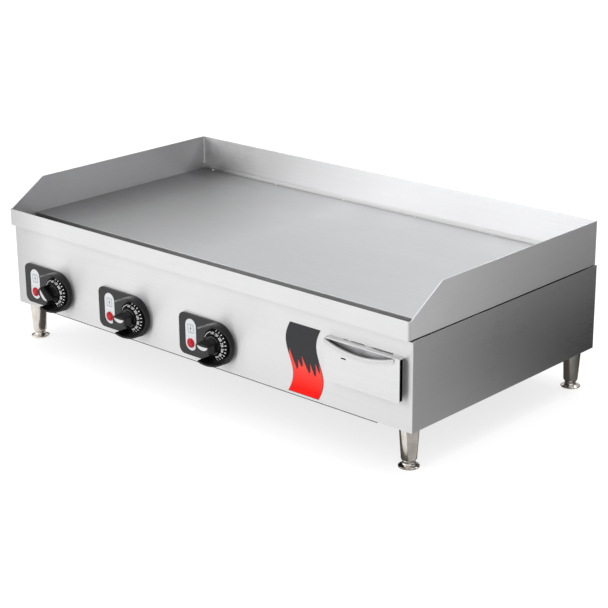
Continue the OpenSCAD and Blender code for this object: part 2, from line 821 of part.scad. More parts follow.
// Open grease pan with a turned-out rim that runs in the rails
module drawer_pan() color("silver") rig() {
    x0 = drawer_x - pan_half;
    x1 = drawer_x + pan_half;
    y1 = pan_y0 + pan_len;
    wall = [pan_wall, pan_wall, pan_wall];
    difference() {
        union() {
            box([x0, pan_y0, grease_z0], [x1, y1, grease_z1]);
            box([x0 - rim_w, pan_y0, grease_z1 - pan_wall], [x1 + rim_w, y1, grease_z1]);
        }
        box([x0, pan_y0, grease_z0] + wall, [x1, y1, grease_z1 + 2 * pan_wall] - wall);
    }
}

// Two channels from the front panel to the rear panel, open towards the pan
module drawer_runners() color("gray") rig() {
    y1 = body_d - sheet;
    ledge_y0 = 14;
    channel_h = 12;
    web = bay_half + 0.1;
    ledge = pan_half + 1;
    z0 = grease_z1 - pan_wall - runner_gap - sheet;
    for (s = [0, 1]) translate([drawer_x, 0, 0]) mirror([s, 0, 0]) {
        box([web, sheet, z0], [web + sheet, y1, z0 + channel_h]);
        box([ledge, ledge_y0, z0], [web + eps, y1, z0 + sheet]);
        box([ledge, ledge_y0, z0 + channel_h - sheet], [web + eps, y1, z0 + channel_h]);
    }
}

// ---------------------------------------------------------------- badge

// Badge sticker with two wavy sides
badge_x = 243.8;
badge_w = 63.2;
badge_z0 = 71;
badge_z1 = 186;
badge_mid = 129.5;
badge_period = 129;
function badge_wave(z) = 0.106 * (z - badge_mid) - 10.6 * sin(360 * (z - badge_mid) / badge_period);

module badge() color("firebrick") rig() {
    steps = 24;
    heights = [for (i = [0:steps]) badge_z0 + (badge_z1 - badge_z0) * i / steps];
    left = [for (z = heights) [badge_x - badge_w / 2 + badge_wave(z), z]];
    right = [for (i = [0:steps]) let (z = heights[steps - i]) [badge_x + badge_w / 2 + badge_wave(z), z]];
    along_y(-0.4, 0) polygon(concat(left, right));
}

// ---------------------------------------------------------------- legs and feet

// Tapered leg with a stud and nut above, and a threaded hole for the foot
module leg(side, row) color("rosybrown") rig() {
    hole = 38;
    translate([side * leg_x, leg_ys[row], 0]) {
        rotate_extrude() polygon([
            [stem_r + stem_clear, leg_z0], [leg_tip_r, leg_z0], [leg_r0, leg_z0 + 4],
            [leg_r1, z_body0 - 1], [leg_r1 - 0.6, z_body0],
            [0, z_body0], [0, leg_z0 + hole], [stem_r + stem_clear, leg_z0 + hole]
        ]);
        translate([0, 0, z_body0 - eps]) cylinder(r = stem_r, h = 14);
        translate([0, 0, z_body0 + rail_t]) cylinder(r = 9, h = 7, $fn = 6);
    }
}

// Levelling foot: flanged pad, flared neck and threaded stem
module foot(side, row) color("silver") rig() {
    pad_r = 16.5;
    neck_r = 9.6;
    gap = 0.4;
    translate([side * leg_x, leg_ys[row], 0]) rotate_extrude() polygon([
        [0, 0], [pad_r - 0.8, 0], [pad_r, 0.8], [pad_r, 2.6], [pad_r - 1.5, 3.4],
        [neck_r + 1.2, 5.4], [neck_r, 7.4], [neck_r, leg_z0 - gap],
        [stem_r, leg_z0 - gap], [stem_r, leg_z0 + 32], [stem_r - 1, leg_z0 + 33], [0, leg_z0 + 33]
    ]);
}

// ---------------------------------------------------------------- nodes

griddle_plate();
splash_side(-1);  // splash_left
splash_rear();
splash_side(1);  // splash_right
front_apron();
grease_trough();
grease_chute();
corner_welds();
front_panel();
side_panel(-1);  // side_panel_left
side_panel(1);  // side_panel_right
rear_panel();
bottom_cover();
leg_rail(-1);  // leg_rail_left
leg_rail(1);  // leg_rail_right
panel_screws();
plate_spacers();
heating_element(zones[0]);  // heating_element_left
heating_element(zones[1]);  // heating_element_centre
heating_element(zones[2]);  // heating_element_right
element_clamps();
clamp_studs();
insulation_blanket();
insulation_pan();
heat_shield();
sensor_bulbs();
thermostat(0);  // thermostat_left
thermostat(1);  // thermostat_centre
thermostat(2);  // thermostat_right
thermostat_screws();
bezel(0);  // bezel_left
bezel(1);  // bezel_centre
bezel(2);  // bezel_right
label(0);  // label_left
label(1);  // label_centre
label(2);  // label_right
pilot_lamp(0);  // pilot_lamp_left
pilot_lamp(1);  // pilot_lamp_centre
pilot_lamp(2);  // pilot_lamp_right
wiring_leads();
terminal_block();
ground_lug();
cord_gland();
gland_locknut();
drawer_runners();
badge();
leg(-1, 0);  // leg_front_left
leg(1, 0);  // leg_front_right
leg(-1, 1);  // leg_rear_left
leg(1, 1);  // leg_rear_right
knob(0);  // knob_left
knob(1);  // knob_centre
knob(2);  // knob_right
drawer_pan();
drawer_front();
foot(-1, 0);  // foot_front_left
foot(1, 0);  // foot_front_right
foot(-1, 1);  // foot_rear_left
foot(1, 1);  // foot_rear_right
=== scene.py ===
import json
import math

import bmesh
import bpy
from mathutils import Matrix, Vector, noise

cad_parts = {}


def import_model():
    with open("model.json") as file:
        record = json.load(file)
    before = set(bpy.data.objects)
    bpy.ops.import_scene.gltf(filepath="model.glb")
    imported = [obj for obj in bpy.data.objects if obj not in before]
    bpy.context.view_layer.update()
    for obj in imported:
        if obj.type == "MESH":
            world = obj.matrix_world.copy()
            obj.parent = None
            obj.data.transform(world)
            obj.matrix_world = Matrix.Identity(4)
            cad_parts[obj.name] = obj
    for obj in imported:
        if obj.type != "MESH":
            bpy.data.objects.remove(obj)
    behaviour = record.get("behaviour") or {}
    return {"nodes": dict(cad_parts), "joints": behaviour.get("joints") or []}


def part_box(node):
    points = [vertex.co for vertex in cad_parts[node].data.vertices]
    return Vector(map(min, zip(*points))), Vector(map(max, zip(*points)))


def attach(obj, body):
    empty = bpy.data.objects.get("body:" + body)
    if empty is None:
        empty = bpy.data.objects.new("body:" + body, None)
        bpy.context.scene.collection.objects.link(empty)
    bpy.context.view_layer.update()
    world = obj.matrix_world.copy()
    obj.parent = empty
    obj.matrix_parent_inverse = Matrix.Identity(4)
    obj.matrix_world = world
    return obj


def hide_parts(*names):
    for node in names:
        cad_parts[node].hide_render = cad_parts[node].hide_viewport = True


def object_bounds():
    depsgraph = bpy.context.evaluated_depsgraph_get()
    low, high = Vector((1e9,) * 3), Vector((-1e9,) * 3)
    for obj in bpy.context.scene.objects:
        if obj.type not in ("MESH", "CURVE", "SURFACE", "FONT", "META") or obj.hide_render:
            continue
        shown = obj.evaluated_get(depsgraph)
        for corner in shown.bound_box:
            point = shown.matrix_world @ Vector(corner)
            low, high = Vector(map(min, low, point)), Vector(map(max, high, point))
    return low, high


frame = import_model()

CAD_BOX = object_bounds()
NODES = frame["nodes"]
JOINTS = {j["name"]: j for j in frame["joints"]}
SIDES = ("left", "centre", "right")
FEET = ("front_left", "front_right", "rear_left", "rear_right")
ORIGIN = Vector((0, 0, 0))

# Lengths and places are in metres, and each is worked out from the frame or given in MM.
MM = 0.001
LEFT = CAD_BOX[0][0]
PANEL_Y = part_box("front_panel")[0].y
REAR_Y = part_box("rear_panel")[1].y
UNDER_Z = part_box("bottom_cover")[0].z
PLATE_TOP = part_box("griddle_plate")[1].z

# How close a point has to be to a face to count as on it.
NEAR = 1e-5

# Degrees that the left knob rests clockwise of the other two.
LEFT_KNOB_TURN = 45


# ------------------------------------------------------------------ materials


class Nodes:
    """Short calls that build one node tree, with patterns laid out by a texture coordinate."""

    def __init__(self, tree, coord="Object"):
        tree.nodes.clear()
        self.tree = tree
        self.coord = self.node("ShaderNodeTexCoord").outputs[coord]

    def node(self, kind, **settings):
        made = self.tree.nodes.new(kind)
        for key, value in settings.items():
            setattr(made, key, value)
        return made

    def link(self, a, b):
        self.tree.links.new(a, b)

    def feed(self, socket, value):
        """Links a socket to another one, or sets it to a value."""
        if isinstance(value, bpy.types.NodeSocket):
            self.link(value, socket)
        elif socket.type == "RGBA":
            socket.default_value = (*value, 1.0)
        else:
            socket.default_value = value

    def mapped(self, scale, turn=(0, 0, 0)):
        mapping = self.node("ShaderNodeMapping")
        mapping.inputs["Scale"].default_value = scale
        mapping.inputs["Rotation"].default_value = turn
        self.link(self.coord, mapping.inputs["Vector"])
        return mapping.outputs[0]

    def noise(self, scale, detail=2.0, rough=0.55, turn=(0, 0, 0), bend=0.0):
        """Noise with a number of grains per metre along each axis."""
        made = self.node("ShaderNodeTexNoise")
        made.inputs["Scale"].default_value = 1.0
        made.inputs["Detail"].default_value = detail
        made.inputs["Roughness"].default_value = rough
        made.inputs["Distortion"].default_value = bend
        self.link(self.mapped(scale, turn), made.inputs["Vector"])
        return made.outputs[0]

    def cells(self, scale):
        made = self.node("ShaderNodeTexVoronoi")
        made.inputs["Scale"].default_value = 1.0
        self.link(self.mapped(scale), made.inputs["Vector"])
        return made.outputs["Distance"]

    def remap(self, value, lo, hi, out_lo, out_hi, kind="LINEAR"):
        made = self.node("ShaderNodeMapRange", clamp=True, interpolation_type=kind)
        for key, given in zip(("Value", "From Min", "From Max", "To Min", "To Max"),
                              (value, lo, hi, out_lo, out_hi)):
            self.feed(made.inputs[key], given)
        return made.outputs[0]

    def spread(self, value, out_lo, out_hi):
        """Maps a noise, which keeps mostly between 0.3 and 0.7, to a range."""
        return self.remap(value, 0.3, 0.7, out_lo, out_hi)

    def ease(self, value, lo, hi, out_lo, out_hi):
        """A remap with soft ends."""
        return self.remap(value, lo, hi, out_lo, out_hi, "SMOOTHSTEP")

    def math(self, kind, a, b=0.0):
        made = self.node("ShaderNodeMath", operation=kind)
        self.feed(made.inputs[0], a)
        self.feed(made.inputs[1], b)
        return made.outputs[0]

    def plus(self, a, b):
        return self.math("ADD", a, b)

    def times(self, a, b):
        return self.math("MULTIPLY", a, b)

    def mix(self, fac, a, b, kind="MIX"):
        """Mixes two colours."""
        made = self.node("ShaderNodeMix", data_type="RGBA", blend_type=kind)
        for socket, value in ((0, fac), (6, a), (7, b)):
            self.feed(made.inputs[socket], value)
        return made.outputs[2]

    def between(self, fac, a, b):
        """Mixes two numbers."""
        made = self.node("ShaderNodeMix", data_type="FLOAT")
        for socket, value in ((0, fac), (2, a), (3, b)):
            self.feed(made.inputs[socket], value)
        return made.outputs[0]

    def axis(self, name):
        made = self.node("ShaderNodeSeparateXYZ")
        self.link(self.coord, made.inputs[0])
        return made.outputs[name]

    def fade(self, color, axis, lo, hi, out_lo, out_hi):
        """Scales a colour by a factor that runs along one axis."""
        return self.mix(1.0, color, self.remap(self.axis(axis), lo, hi, out_lo, out_hi), "MULTIPLY")


class Finish(Nodes):
    """A Principled material whose detail comes from noise in the object's own coordinates."""

    def __init__(self, name, **constants):
        self.mat = bpy.data.materials.new(name)
        self.mat.use_nodes = True
        super().__init__(self.mat.node_tree)
        out = self.node("ShaderNodeOutputMaterial")
        self.shader = self.node("ShaderNodeBsdfPrincipled")
        self.link(self.shader.outputs[0], out.inputs["Surface"])
        for key, value in constants.items():
            self.shader.inputs[key.replace("_", " ")].default_value = value

    def bump(self, height, distance):
        made = self.node("ShaderNodeBump")
        made.inputs["Strength"].default_value = 1.0
        made.inputs["Distance"].default_value = distance
        self.link(height, made.inputs["Height"])
        self.link(made.outputs[0], self.shader.inputs["Normal"])

    def smear(self, amount, axis="Z", turn=0.25):
        """Stretches the highlights across the grain."""
        tangent = self.node("ShaderNodeTangent", direction_type="RADIAL", axis=axis)
        self.link(tangent.outputs[0], self.shader.inputs["Tangent"])
        self.shader.inputs["Anisotropic"].default_value = amount
        self.shader.inputs["Anisotropic Rotation"].default_value = turn

    def done(self, color, rough):
        self.feed(self.shader.inputs["Base Color"], color)
        self.feed(self.shader.inputs["Roughness"], rough)
        return self.mat


class Glow(Nodes):
    """An emission material whose strength depends on the place on the sheet."""

    def __init__(self, name):
        self.mat = bpy.data.materials.new(name)
        self.mat.use_nodes = True
        super().__init__(self.mat.node_tree)

    def done(self, color, strength):
        glow = self.node("ShaderNodeEmission")
        self.feed(glow.inputs["Color"], color)
        self.feed(glow.inputs["Strength"], strength)
        out = self.node("ShaderNodeOutputMaterial")
        self.link(glow.outputs[0], out.inputs["Surface"])
        return self.mat


def grain(along, long, across):
    """Grains per metre for streaks that run along one axis."""
    return tuple(long if axis == along else across for axis in "xyz")


def evenly(count):
    """The same number of grains per metre along each axis."""
    return (count, count, count)


def tinted(tone, tint):
    return tuple(tone * part for part in tint)


def brushed(name, tone, rough, along, blue=1.0, contrast=0.015, clouds=0.05, metal=1.0, painted_shade_and_wear=None):
    """Brushed sheet: fine and coarse streaks, cloudy handling marks and a few scratches."""
    f = Finish(name, Metallic=metal)
    tint = (1.0, 1.0, blue)
    fine = f.noise(grain(along, 14, 2400), detail=2.0)
    coarse = f.noise(grain(along, 5, 330), detail=3.0)
    cloud = f.noise(evenly(6), detail=4.0, rough=0.6, bend=0.4)
    scratch = f.noise(grain(along, 9, 700), detail=1.0, turn=(0.05, 0.04, 0.06))
    color = f.mix(f.spread(coarse, 0, 1), tinted(tone * (1 - contrast), tint),
                  tinted(min(1, tone * (1 + contrast)), tint))
    color = f.mix(f.remap(cloud, 0.35, 0.7, 0, clouds), color, tinted(tone * 0.62, tint))
    color = f.mix(f.remap(scratch, 0.76, 0.80, 0, 0.12), color, tinted(min(1, tone * 1.15), tint))
    level = f.plus(f.spread(fine, rough - 0.05, rough + 0.05), f.spread(cloud, -0.03, 0.04))
    # Painted shade given by the caller, laid over the sheet's colour.
    if painted_shade_and_wear:
        color = painted_shade_and_wear(f, color)
    f.bump(fine, 3e-6)
    f.smear(0.8)
    return f.done(color, level)


def panel_painted_shade(f, color):
    """Painted shade: darker over the first hundred millimetres at the left."""
    return f.fade(color, "X", LEFT - 3 * MM, LEFT + 97 * MM, 0.74, 1.0)


def left_guard_painted_shade(f, color):
    """Painted shade: darker towards the rear corner."""
    unshaded_y, shaded_y = -100 * MM, 300 * MM
    return f.fade(color, "Y", unshaded_y, shaded_y, 1.0, 0.72)


def rear_guard_painted_shade(f, color):
    """Painted shade: dark patches by the left corner on the inner face, and a darker band where the sheet
    meets the plate.
    """
    shade_patches = f.noise((14, 14, 20), detail=5.0, rough=0.6, bend=1.2)
    reach = f.remap(f.axis("X"), LEFT + 17 * MM, LEFT + 147 * MM, 1.0, 0.0)
    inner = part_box("splash_rear")[0].y
    face = f.remap(f.axis("Y"), inner + 2 * MM, inner + 4 * MM, 1.0, 0.0)
    # Patchy painted shade by the left corner, on the inner face only.
    corner_shade = f.times(f.times(reach, f.remap(shade_patches, 0.35, 0.62, 0.22, 0.95)), face)
    color = f.mix(corner_shade, color, (0.22, 0.22, 0.23))
    # Painted shade along the foot, where the sheet meets the plate.
    return f.fade(color, "Z", PLATE_TOP + 2 * MM, PLATE_TOP + 9 * MM, 0.55, 1.0)


def side_gap_painted_shade(f, color):
    """Painted shade: every part of the sheet inward of its outer skin, such as the top fold in the gap under
    the guards, is near black.
    """
    across = f.math("ABSOLUTE", f.axis("X"))
    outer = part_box("side_panel_right")[1].x
    gap_shade = f.remap(across, outer - 1.4 * MM, outer - 0.9 * MM, 1.0, 0.0)
    return f.mix(gap_shade, color, (0.045, 0.045, 0.047))


def drawer_pull_painted_shade(f, color):
    """Painted shade inside the finger pull: the sheet behind it is a mottled grey with lighter blotches,
    darkest under the top flange.
    """
    lo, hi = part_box("drawer_front")
    edge = 2.5 * MM
    depth = f.remap(f.axis("Y"), PANEL_Y - 9.5 * MM, PANEL_Y - 7.5 * MM, 0.0, 1.0)
    left = f.remap(f.axis("X"), lo.x + edge * 0.6, lo.x + edge, 0.0, 1.0)
    right = f.remap(f.axis("X"), hi.x - edge, hi.x - edge * 0.6, 1.0, 0.0)
    below = f.remap(f.axis("Z"), hi.z - 1.6 * MM, hi.z - 1.3 * MM, 1.0, 0.0)
    inside = f.times(f.times(depth, left), f.times(right, below))
    # Mottled painted shade on the sheet behind the pull, with lighter blotches of painted light, made darkest
    # under the top flange.
    glow = f.noise((28, 28, 60), detail=3.0, bend=0.6)
    recess_shade = f.mix(f.remap(glow, 0.35, 0.62, 0, 1), (0.25, 0.25, 0.255), (0.44, 0.44, 0.45))
    recess_shade = f.fade(recess_shade, "Z", hi.z - 4.6 * MM, hi.z - 2.2 * MM, 1.0, 0.30)
    return f.mix(inside, color, recess_shade)


def plate_steel():
    """Ground plate: long satin grain, faint cross marks and heat colour, and painted shade that darkens it to
    the left and rear.
    """
    f = Finish("ground_plate", Metallic=1.0)
    fine = f.noise((10, 1900, 1900), detail=2.0)
    coarse = f.noise((3, 260, 260), detail=3.0)
    cross = f.noise((900, 16, 16), detail=1.5, turn=(0, 0, 0.5))
    cloud = f.noise(evenly(5), detail=4.0, rough=0.6, bend=0.8)
    color = f.mix(f.spread(coarse, 0, 1), (0.612, 0.618, 0.626), (0.638, 0.644, 0.652))
    color = f.mix(f.remap(cloud, 0.42, 0.72, 0, 0.12), color, (0.50, 0.495, 0.485))
    color = f.mix(f.remap(cross, 0.72, 0.78, 0, 0.05), color, (0.80, 0.80, 0.80))
    dark_x, unshaded_x = LEFT - 3 * MM, -50 * MM
    unshaded_y, dark_y = 50 * MM, 300 * MM
    # Painted shade: darker to the left and towards the rear, by the guards.
    color = f.fade(color, "X", dark_x, unshaded_x, 0.32, 0.97)
    color = f.fade(color, "Y", unshaded_y, dark_y, 1.0, 0.86)
    level = f.plus(f.spread(fine, 0.37, 0.45), f.spread(cloud, -0.02, 0.05))
    f.bump(fine, 3e-6)
    f.smear(0.6, axis="X", turn=0.0)
    return f.done(color, level)


def trough_steel(name, right_end):
    """Mill finish with a faint straw tint where the grease runs, darker towards the chute."""
    f = Finish(name, Metallic=1.0)
    fine = f.noise((12, 1500, 1500), detail=2.0)
    cloud = f.noise(evenly(9), detail=4.0, rough=0.6, bend=0.5)
    color = f.mix(f.spread(fine, 0, 1), (0.42, 0.42, 0.425), (0.50, 0.50, 0.505))
    color = f.mix(f.remap(cloud, 0.45, 0.70, 0, 0.7), color, (0.36, 0.29, 0.22))
    color = f.fade(color, "X", LEFT - 3 * MM, 440 * MM, 1.0, right_end)
    level = f.plus(f.spread(fine, 0.24, 0.34), f.spread(cloud, -0.03, 0.10))
    f.bump(fine, 5e-6)
    return f.done(color, level)


def galvanised(name, tone=1.0):
    """Zinc coated sheet with its spangle and dull spots."""
    f = Finish(name, Metallic=1.0)
    spangle = f.cells(evenly(75))
    dull = f.noise(evenly(40), detail=3.0)
    fine = f.noise(evenly(700), detail=2.0)
    color = f.mix(f.remap(spangle, 0.1, 0.8, 0, 1), tinted(tone, (0.47, 0.48, 0.50)),
                  tinted(tone, (0.60, 0.61, 0.63)))
    color = f.mix(f.remap(dull, 0.5, 0.75, 0, 0.5), color, tinted(tone, (0.40, 0.40, 0.41)))
    level = f.plus(f.remap(spangle, 0, 0.8, 0.34, 0.46), f.spread(fine, -0.03, 0.03))
    f.bump(fine, 6e-6)
    return f.done(color, level)


def weld():
    """Ground weld: bright, with a heat-tinted edge and small pits."""
    f = Finish("weld_bead", Metallic=1.0)
    pits = f.noise(evenly(900), detail=3.0)
    heat = f.noise(evenly(60), detail=3.0)
    color = f.mix(f.remap(heat, 0.35, 0.7, 0, 1), (0.80, 0.80, 0.80), (0.66, 0.62, 0.55))
    f.bump(pits, 2e-5)
    return f.done(color, f.spread(pits, 0.22, 0.42))


def turned(name, color_a, color_b, rough, depth=2e-6):
    """Turned and plated metal: fine rings round the piece, and soft wear."""
    f = Finish(name, Metallic=1.0)
    rings = f.noise((3, 3, 1700), detail=2.0)
    painted_shade_and_wear = f.noise((70, 70, 50), detail=4.0, rough=0.6)
    color = f.mix(f.remap(painted_shade_and_wear, 0.35, 0.7, 0, 1), color_a, color_b)
    level = f.plus(f.spread(rings, rough - 0.03, rough + 0.03), f.remap(painted_shade_and_wear, 0.4, 0.7, 0, 0.06))
    f.bump(rings, depth)
    f.smear(0.6)
    return f.done(color, level)


def moulded(name, color_a, color_b, rough, grains=1500, depth=2.2e-5, **constants):
    """Moulded plastic: fine spark-eroded texture, and handling shine in patches."""
    f = Finish(name, **constants)
    skin = f.noise(evenly(grains), detail=2.5, rough=0.6)
    patch = f.noise(evenly(45), detail=3.0)
    color = f.mix(f.remap(skin, 0.35, 0.7, 0, 1), color_a, color_b)
    level = f.plus(f.remap(patch, 0.35, 0.7, rough - 0.04, rough + 0.06), f.spread(skin, -0.03, 0.03))
    f.bump(skin, depth)
    return f.done(color, level)


def bezel_plastic(side, centre):
    """Black moulding: satin back plate, and a polished collar with a painted highlight at its crown and
    painted shade, near black, at its right.
    """
    f = Finish("bezel_" + side, Specular_IOR_Level=0.42)
    skin = f.noise(evenly(1500), detail=2.5, rough=0.6)
    patch = f.noise(evenly(45), detail=3.0)
    collar = f.remap(f.axis("Y"), PANEL_Y - 5.0 * MM, PANEL_Y - 4.4 * MM, 1.0, 0.0)
    right = f.remap(f.axis("X"), centre.x - 12 * MM, centre.x + 22 * MM, 0.0, 1.0)
    left = f.remap(f.axis("X"), centre.x - 30 * MM, centre.x + 4 * MM, 1.0, 0.0)
    high = f.remap(f.axis("Z"), centre.z + 19 * MM, centre.z + 27 * MM, 0.0, 1.0)
    # Painted shade: the collar goes near black towards the right.
    collar_shade = f.times(collar, f.remap(right, 0, 1, 0.35, 1.0))
    color = f.mix(f.remap(skin, 0.35, 0.7, 0, 1), (0.004, 0.0042, 0.0050), (0.010, 0.0106, 0.0122))
    color = f.mix(collar_shade, color, (0.002, 0.002, 0.0022))
    # Painted highlight: pale grey on the collar's crown, at the top left.
    color = f.mix(f.times(collar, f.times(left, high)), color, (0.30, 0.303, 0.31))
    satin = f.plus(f.remap(patch, 0.35, 0.7, 0.27, 0.35), f.spread(skin, -0.03, 0.03))
    polished = f.plus(f.remap(patch, 0.35, 0.7, 0.13, 0.18), f.times(right, 0.45))
    level = f.plus(f.times(satin, f.math("SUBTRACT", 1.0, collar)), f.times(polished, collar))
    f.bump(skin, 4e-6)
    return f.done(color, level)


def film(name, color_a, color_b, rough, **constants):
    """Printed film: even ink with faint mottle and a slightly wavy surface."""
    f = Finish(name, **constants)
    mottle = f.noise(evenly(320), detail=3.0)
    wave = f.noise(evenly(60), detail=2.0)
    f.bump(wave, 3e-5)
    color = f.mix(f.spread(mottle, 0, 1), color_a, color_b)
    return f.done(color, f.spread(mottle, rough - 0.04, rough + 0.04))


def flame_film():
    """Red ink that runs from orange-red at its foot to a cooler red at the tips."""
    f = Finish("badge_red_ink", Specular_IOR_Level=0.10)
    mottle = f.noise(evenly(300), detail=3.0)
    foot_z, tip_z = 80 * MM, 116 * MM
    rise = f.remap(f.axis("Z"), foot_z, tip_z, 0, 1)
    wave = f.noise(evenly(90), detail=2.0)
    color = f.mix(rise, (1.0, 0.004, 0.0), (0.96, 0.070, 0.055))
    color = f.mix(f.remap(mottle, 0.4, 0.7, 0, 0.12), color, (0.86, 0.03, 0.02))
    f.bump(wave, 2e-5)
    return f.done(color, f.spread(mottle, 0.28, 0.36))


def lens_red():
    """Clear red moulding in bright and dark red patches: painted glints and shade for its facets."""
    f = Finish("lens_red", IOR=1.49, Specular_IOR_Level=0.22)
    depth = f.noise(evenly(420), detail=2.0)
    facet_glint_cells = f.cells(evenly(430))
    color = f.mix(f.remap(facet_glint_cells, 0.15, 0.65, 0, 1), (1.0, 0.010, 0.030), (0.26, 0.0, 0.006))
    return f.done(color, f.spread(depth, 0.05, 0.10))


def woven(name, color_a, color_b, strands_per_metre, rough=0.85):
    """Braided sleeve or mineral wool."""
    f = Finish(name)
    strands = f.noise(evenly(strands_per_metre), detail=4.0, rough=0.7, bend=1.0)
    f.bump(strands, 2e-4)
    color = f.mix(f.spread(strands, 0, 1), color_a, color_b)
    return f.done(color, f.spread(strands, rough - 0.1, rough + 0.05))


# These are copies of one stainless steel, set lighter or darker by the side they face: painted light and
# shade, lightest on the right guard and darkest on the side panels.
STAINLESS_X = brushed("stainless_grain_x", tone=0.69, rough=0.40, along="x", blue=1.005, clouds=0.10,
                      metal=0.85, painted_shade_and_wear=panel_painted_shade)
STAINLESS_Y = brushed("stainless_grain_y", tone=0.57, rough=0.33, along="y", blue=1.01, painted_shade_and_wear=side_gap_painted_shade)
GUARD_LEFT = brushed("left_guard_grain", tone=0.72, rough=0.38, along="y", blue=1.015, painted_shade_and_wear=left_guard_painted_shade)
GUARD_RIGHT = brushed("right_guard_grain", tone=0.93, rough=0.36, along="y", blue=1.015)
GUARD_REAR = brushed("rear_guard_grain", tone=0.88, rough=0.40, along="x", blue=1.005, painted_shade_and_wear=rear_guard_painted_shade)
DRAWER = brushed("drawer_grain", tone=0.69, rough=0.40, along="x", blue=1.005, metal=0.85, painted_shade_and_wear=drawer_pull_painted_shade)
CRESCENT = brushed("knob_silver_inlay", tone=0.64, rough=0.30, along="x", contrast=0.03, clouds=0.02)
PLATE = plate_steel()
TROUGH = trough_steel("trough_sheet", right_end=0.42)
PAN = trough_steel("pan_sheet", right_end=1.0)
ZINC_SHEET = galvanised("galvanised_sheet")
# Galvanised sheet darkened to near black: painted shade for the line under the front panel and for the
# spacers in the gap under the guards.
PAINTED_SHADE_SHEET = galvanised("painted_shade_sheet", tone=0.10)
WELD = weld()
NICKEL = turned("satin_nickel", (0.75, 0.705, 0.65), (0.57, 0.53, 0.485), rough=0.15)
SCREW = turned("zinc_screw", (0.72, 0.72, 0.72), (0.60, 0.60, 0.62), rough=0.26)
KNOB = moulded("knob_moulding", (0.002, 0.002, 0.0023), (0.005, 0.005, 0.006), rough=0.17, grains=900,
               depth=2e-6, Specular_IOR_Level=0.42)
DIAL = moulded("dial_black", (0.002, 0.002, 0.002), (0.005, 0.005, 0.0055), rough=0.55, depth=1e-5,
               Specular_IOR_Level=0.08)
MARKS = film("dial_white_ink", (0.97, 0.97, 0.97), (0.92, 0.92, 0.93), rough=0.5)
LABEL = film("label_film", (0.70, 0.71, 0.73), (0.63, 0.64, 0.66), rough=0.34)
ICON = film("label_icon_ink", (0.10, 0.10, 0.11), (0.15, 0.15, 0.16), rough=0.45)
BADGE = film("badge_charcoal_ink", (0.016, 0.0165, 0.019), (0.020, 0.021, 0.024), rough=0.40,
             Coat_Weight=0.05, Coat_Roughness=0.3, Specular_IOR_Level=0.28)
FLAME = flame_film()
LENS = lens_red()
GLAND = moulded("gland_nylon", (0.016, 0.016, 0.016), (0.028, 0.028, 0.028), rough=0.42)
SHEATH = turned("oxidised_sheath", (0.16, 0.12, 0.10), (0.26, 0.20, 0.17), rough=0.42, depth=1e-5)
WOOL = woven("mineral_wool", (0.62, 0.58, 0.44), (0.80, 0.76, 0.62), strands_per_metre=260)
COPPER = turned("drawn_copper", (0.78, 0.42, 0.28), (0.62, 0.30, 0.19), rough=0.26)
PHENOLIC = moulded("thermostat_phenolic", (0.13, 0.085, 0.055), (0.19, 0.13, 0.085), rough=0.45)
SLEEVE = woven("lead_sleeve", (0.42, 0.06, 0.04), (0.60, 0.12, 0.08), strands_per_metre=2600, rough=0.7)
CERAMIC = moulded("steatite", (0.74, 0.71, 0.62), (0.82, 0.79, 0.70), rough=0.55)
BRASS = turned("turned_brass", (0.78, 0.60, 0.25), (0.66, 0.48, 0.18), rough=0.24)

KEPT = {
    "grease_chute": PAN, "leg_rail_left": ZINC_SHEET, "leg_rail_right": ZINC_SHEET,
    "plate_spacers": PAINTED_SHADE_SHEET, "element_clamps": ZINC_SHEET, "clamp_studs": SCREW,
    "insulation_blanket": WOOL, "insulation_pan": ZINC_SHEET, "heat_shield": ZINC_SHEET,
    "sensor_bulbs": COPPER, "thermostat_screws": SCREW, "wiring_leads": SLEEVE,
    "terminal_block": CERAMIC, "ground_lug": BRASS, "gland_locknut": GLAND, "drawer_runners": ZINC_SHEET,
}
for side in SIDES:
    KEPT["heating_element_" + side] = SHEATH
    KEPT["thermostat_" + side] = PHENOLIC
for node, mat in KEPT.items():
    for material_slot in NODES[node].material_slots:
        material_slot.material = mat


# ------------------------------------------------------------------ mesh helpers


def mm(*pairs):
    """Pairs of millimetres as pairs of metres."""
    return [(a * MM, b * MM) for a, b in pairs]


def piece(name, bm, mat, body, replaces=(), smooth=None, weighted=False):
    """Turns a bmesh into a piece that rides on a body.

    Edges past the smooth angle, in degrees, stay sharp.
    """
    bmesh.ops.recalc_face_normals(bm, faces=bm.faces)
    mesh = bpy.data.meshes.new(name)
    bm.to_mesh(mesh)
    bm.free()
    obj = bpy.data.objects.new(name, mesh)
    bpy.context.scene.collection.objects.link(obj)
    mesh.materials.append(mat)
    if smooth is not None:
        for face in mesh.polygons:
            face.use_smooth = True
        mesh.set_sharp_from_angle(angle=math.radians(smooth))
    if weighted:
        modifier = obj.modifiers.new("flat_faces", "WEIGHTED_NORMAL")
        modifier.keep_sharp = True
        modifier.weight = 100
    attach(obj, body)
    if replaces:
        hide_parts(*replaces)


def rounded(bm, width, segments, pick):
    """Rounds the edges sharper than 30 degrees that pick chooses, or all of them if it is None."""
    least = math.radians(30)
    edges = [e for e in bm.edges if len(e.link_faces) == 2 and e.calc_face_angle(0) > least
             and (pick is None or pick(e))]
    bmesh.ops.bevel(bm, geom=edges, offset=width, segments=segments, profile=0.5, affect="EDGES",
                    clamp_overlap=True)


def from_node(node):
    """A node's mesh as welded, merged faces."""
    bm = bmesh.new()
    bm.from_mesh(NODES[node].data)
    bmesh.ops.remove_doubles(bm, verts=bm.verts, dist=2e-6)
    bmesh.ops.dissolve_limit(bm, angle_limit=math.radians(0.3), verts=bm.verts, edges=bm.edges)
    return bm


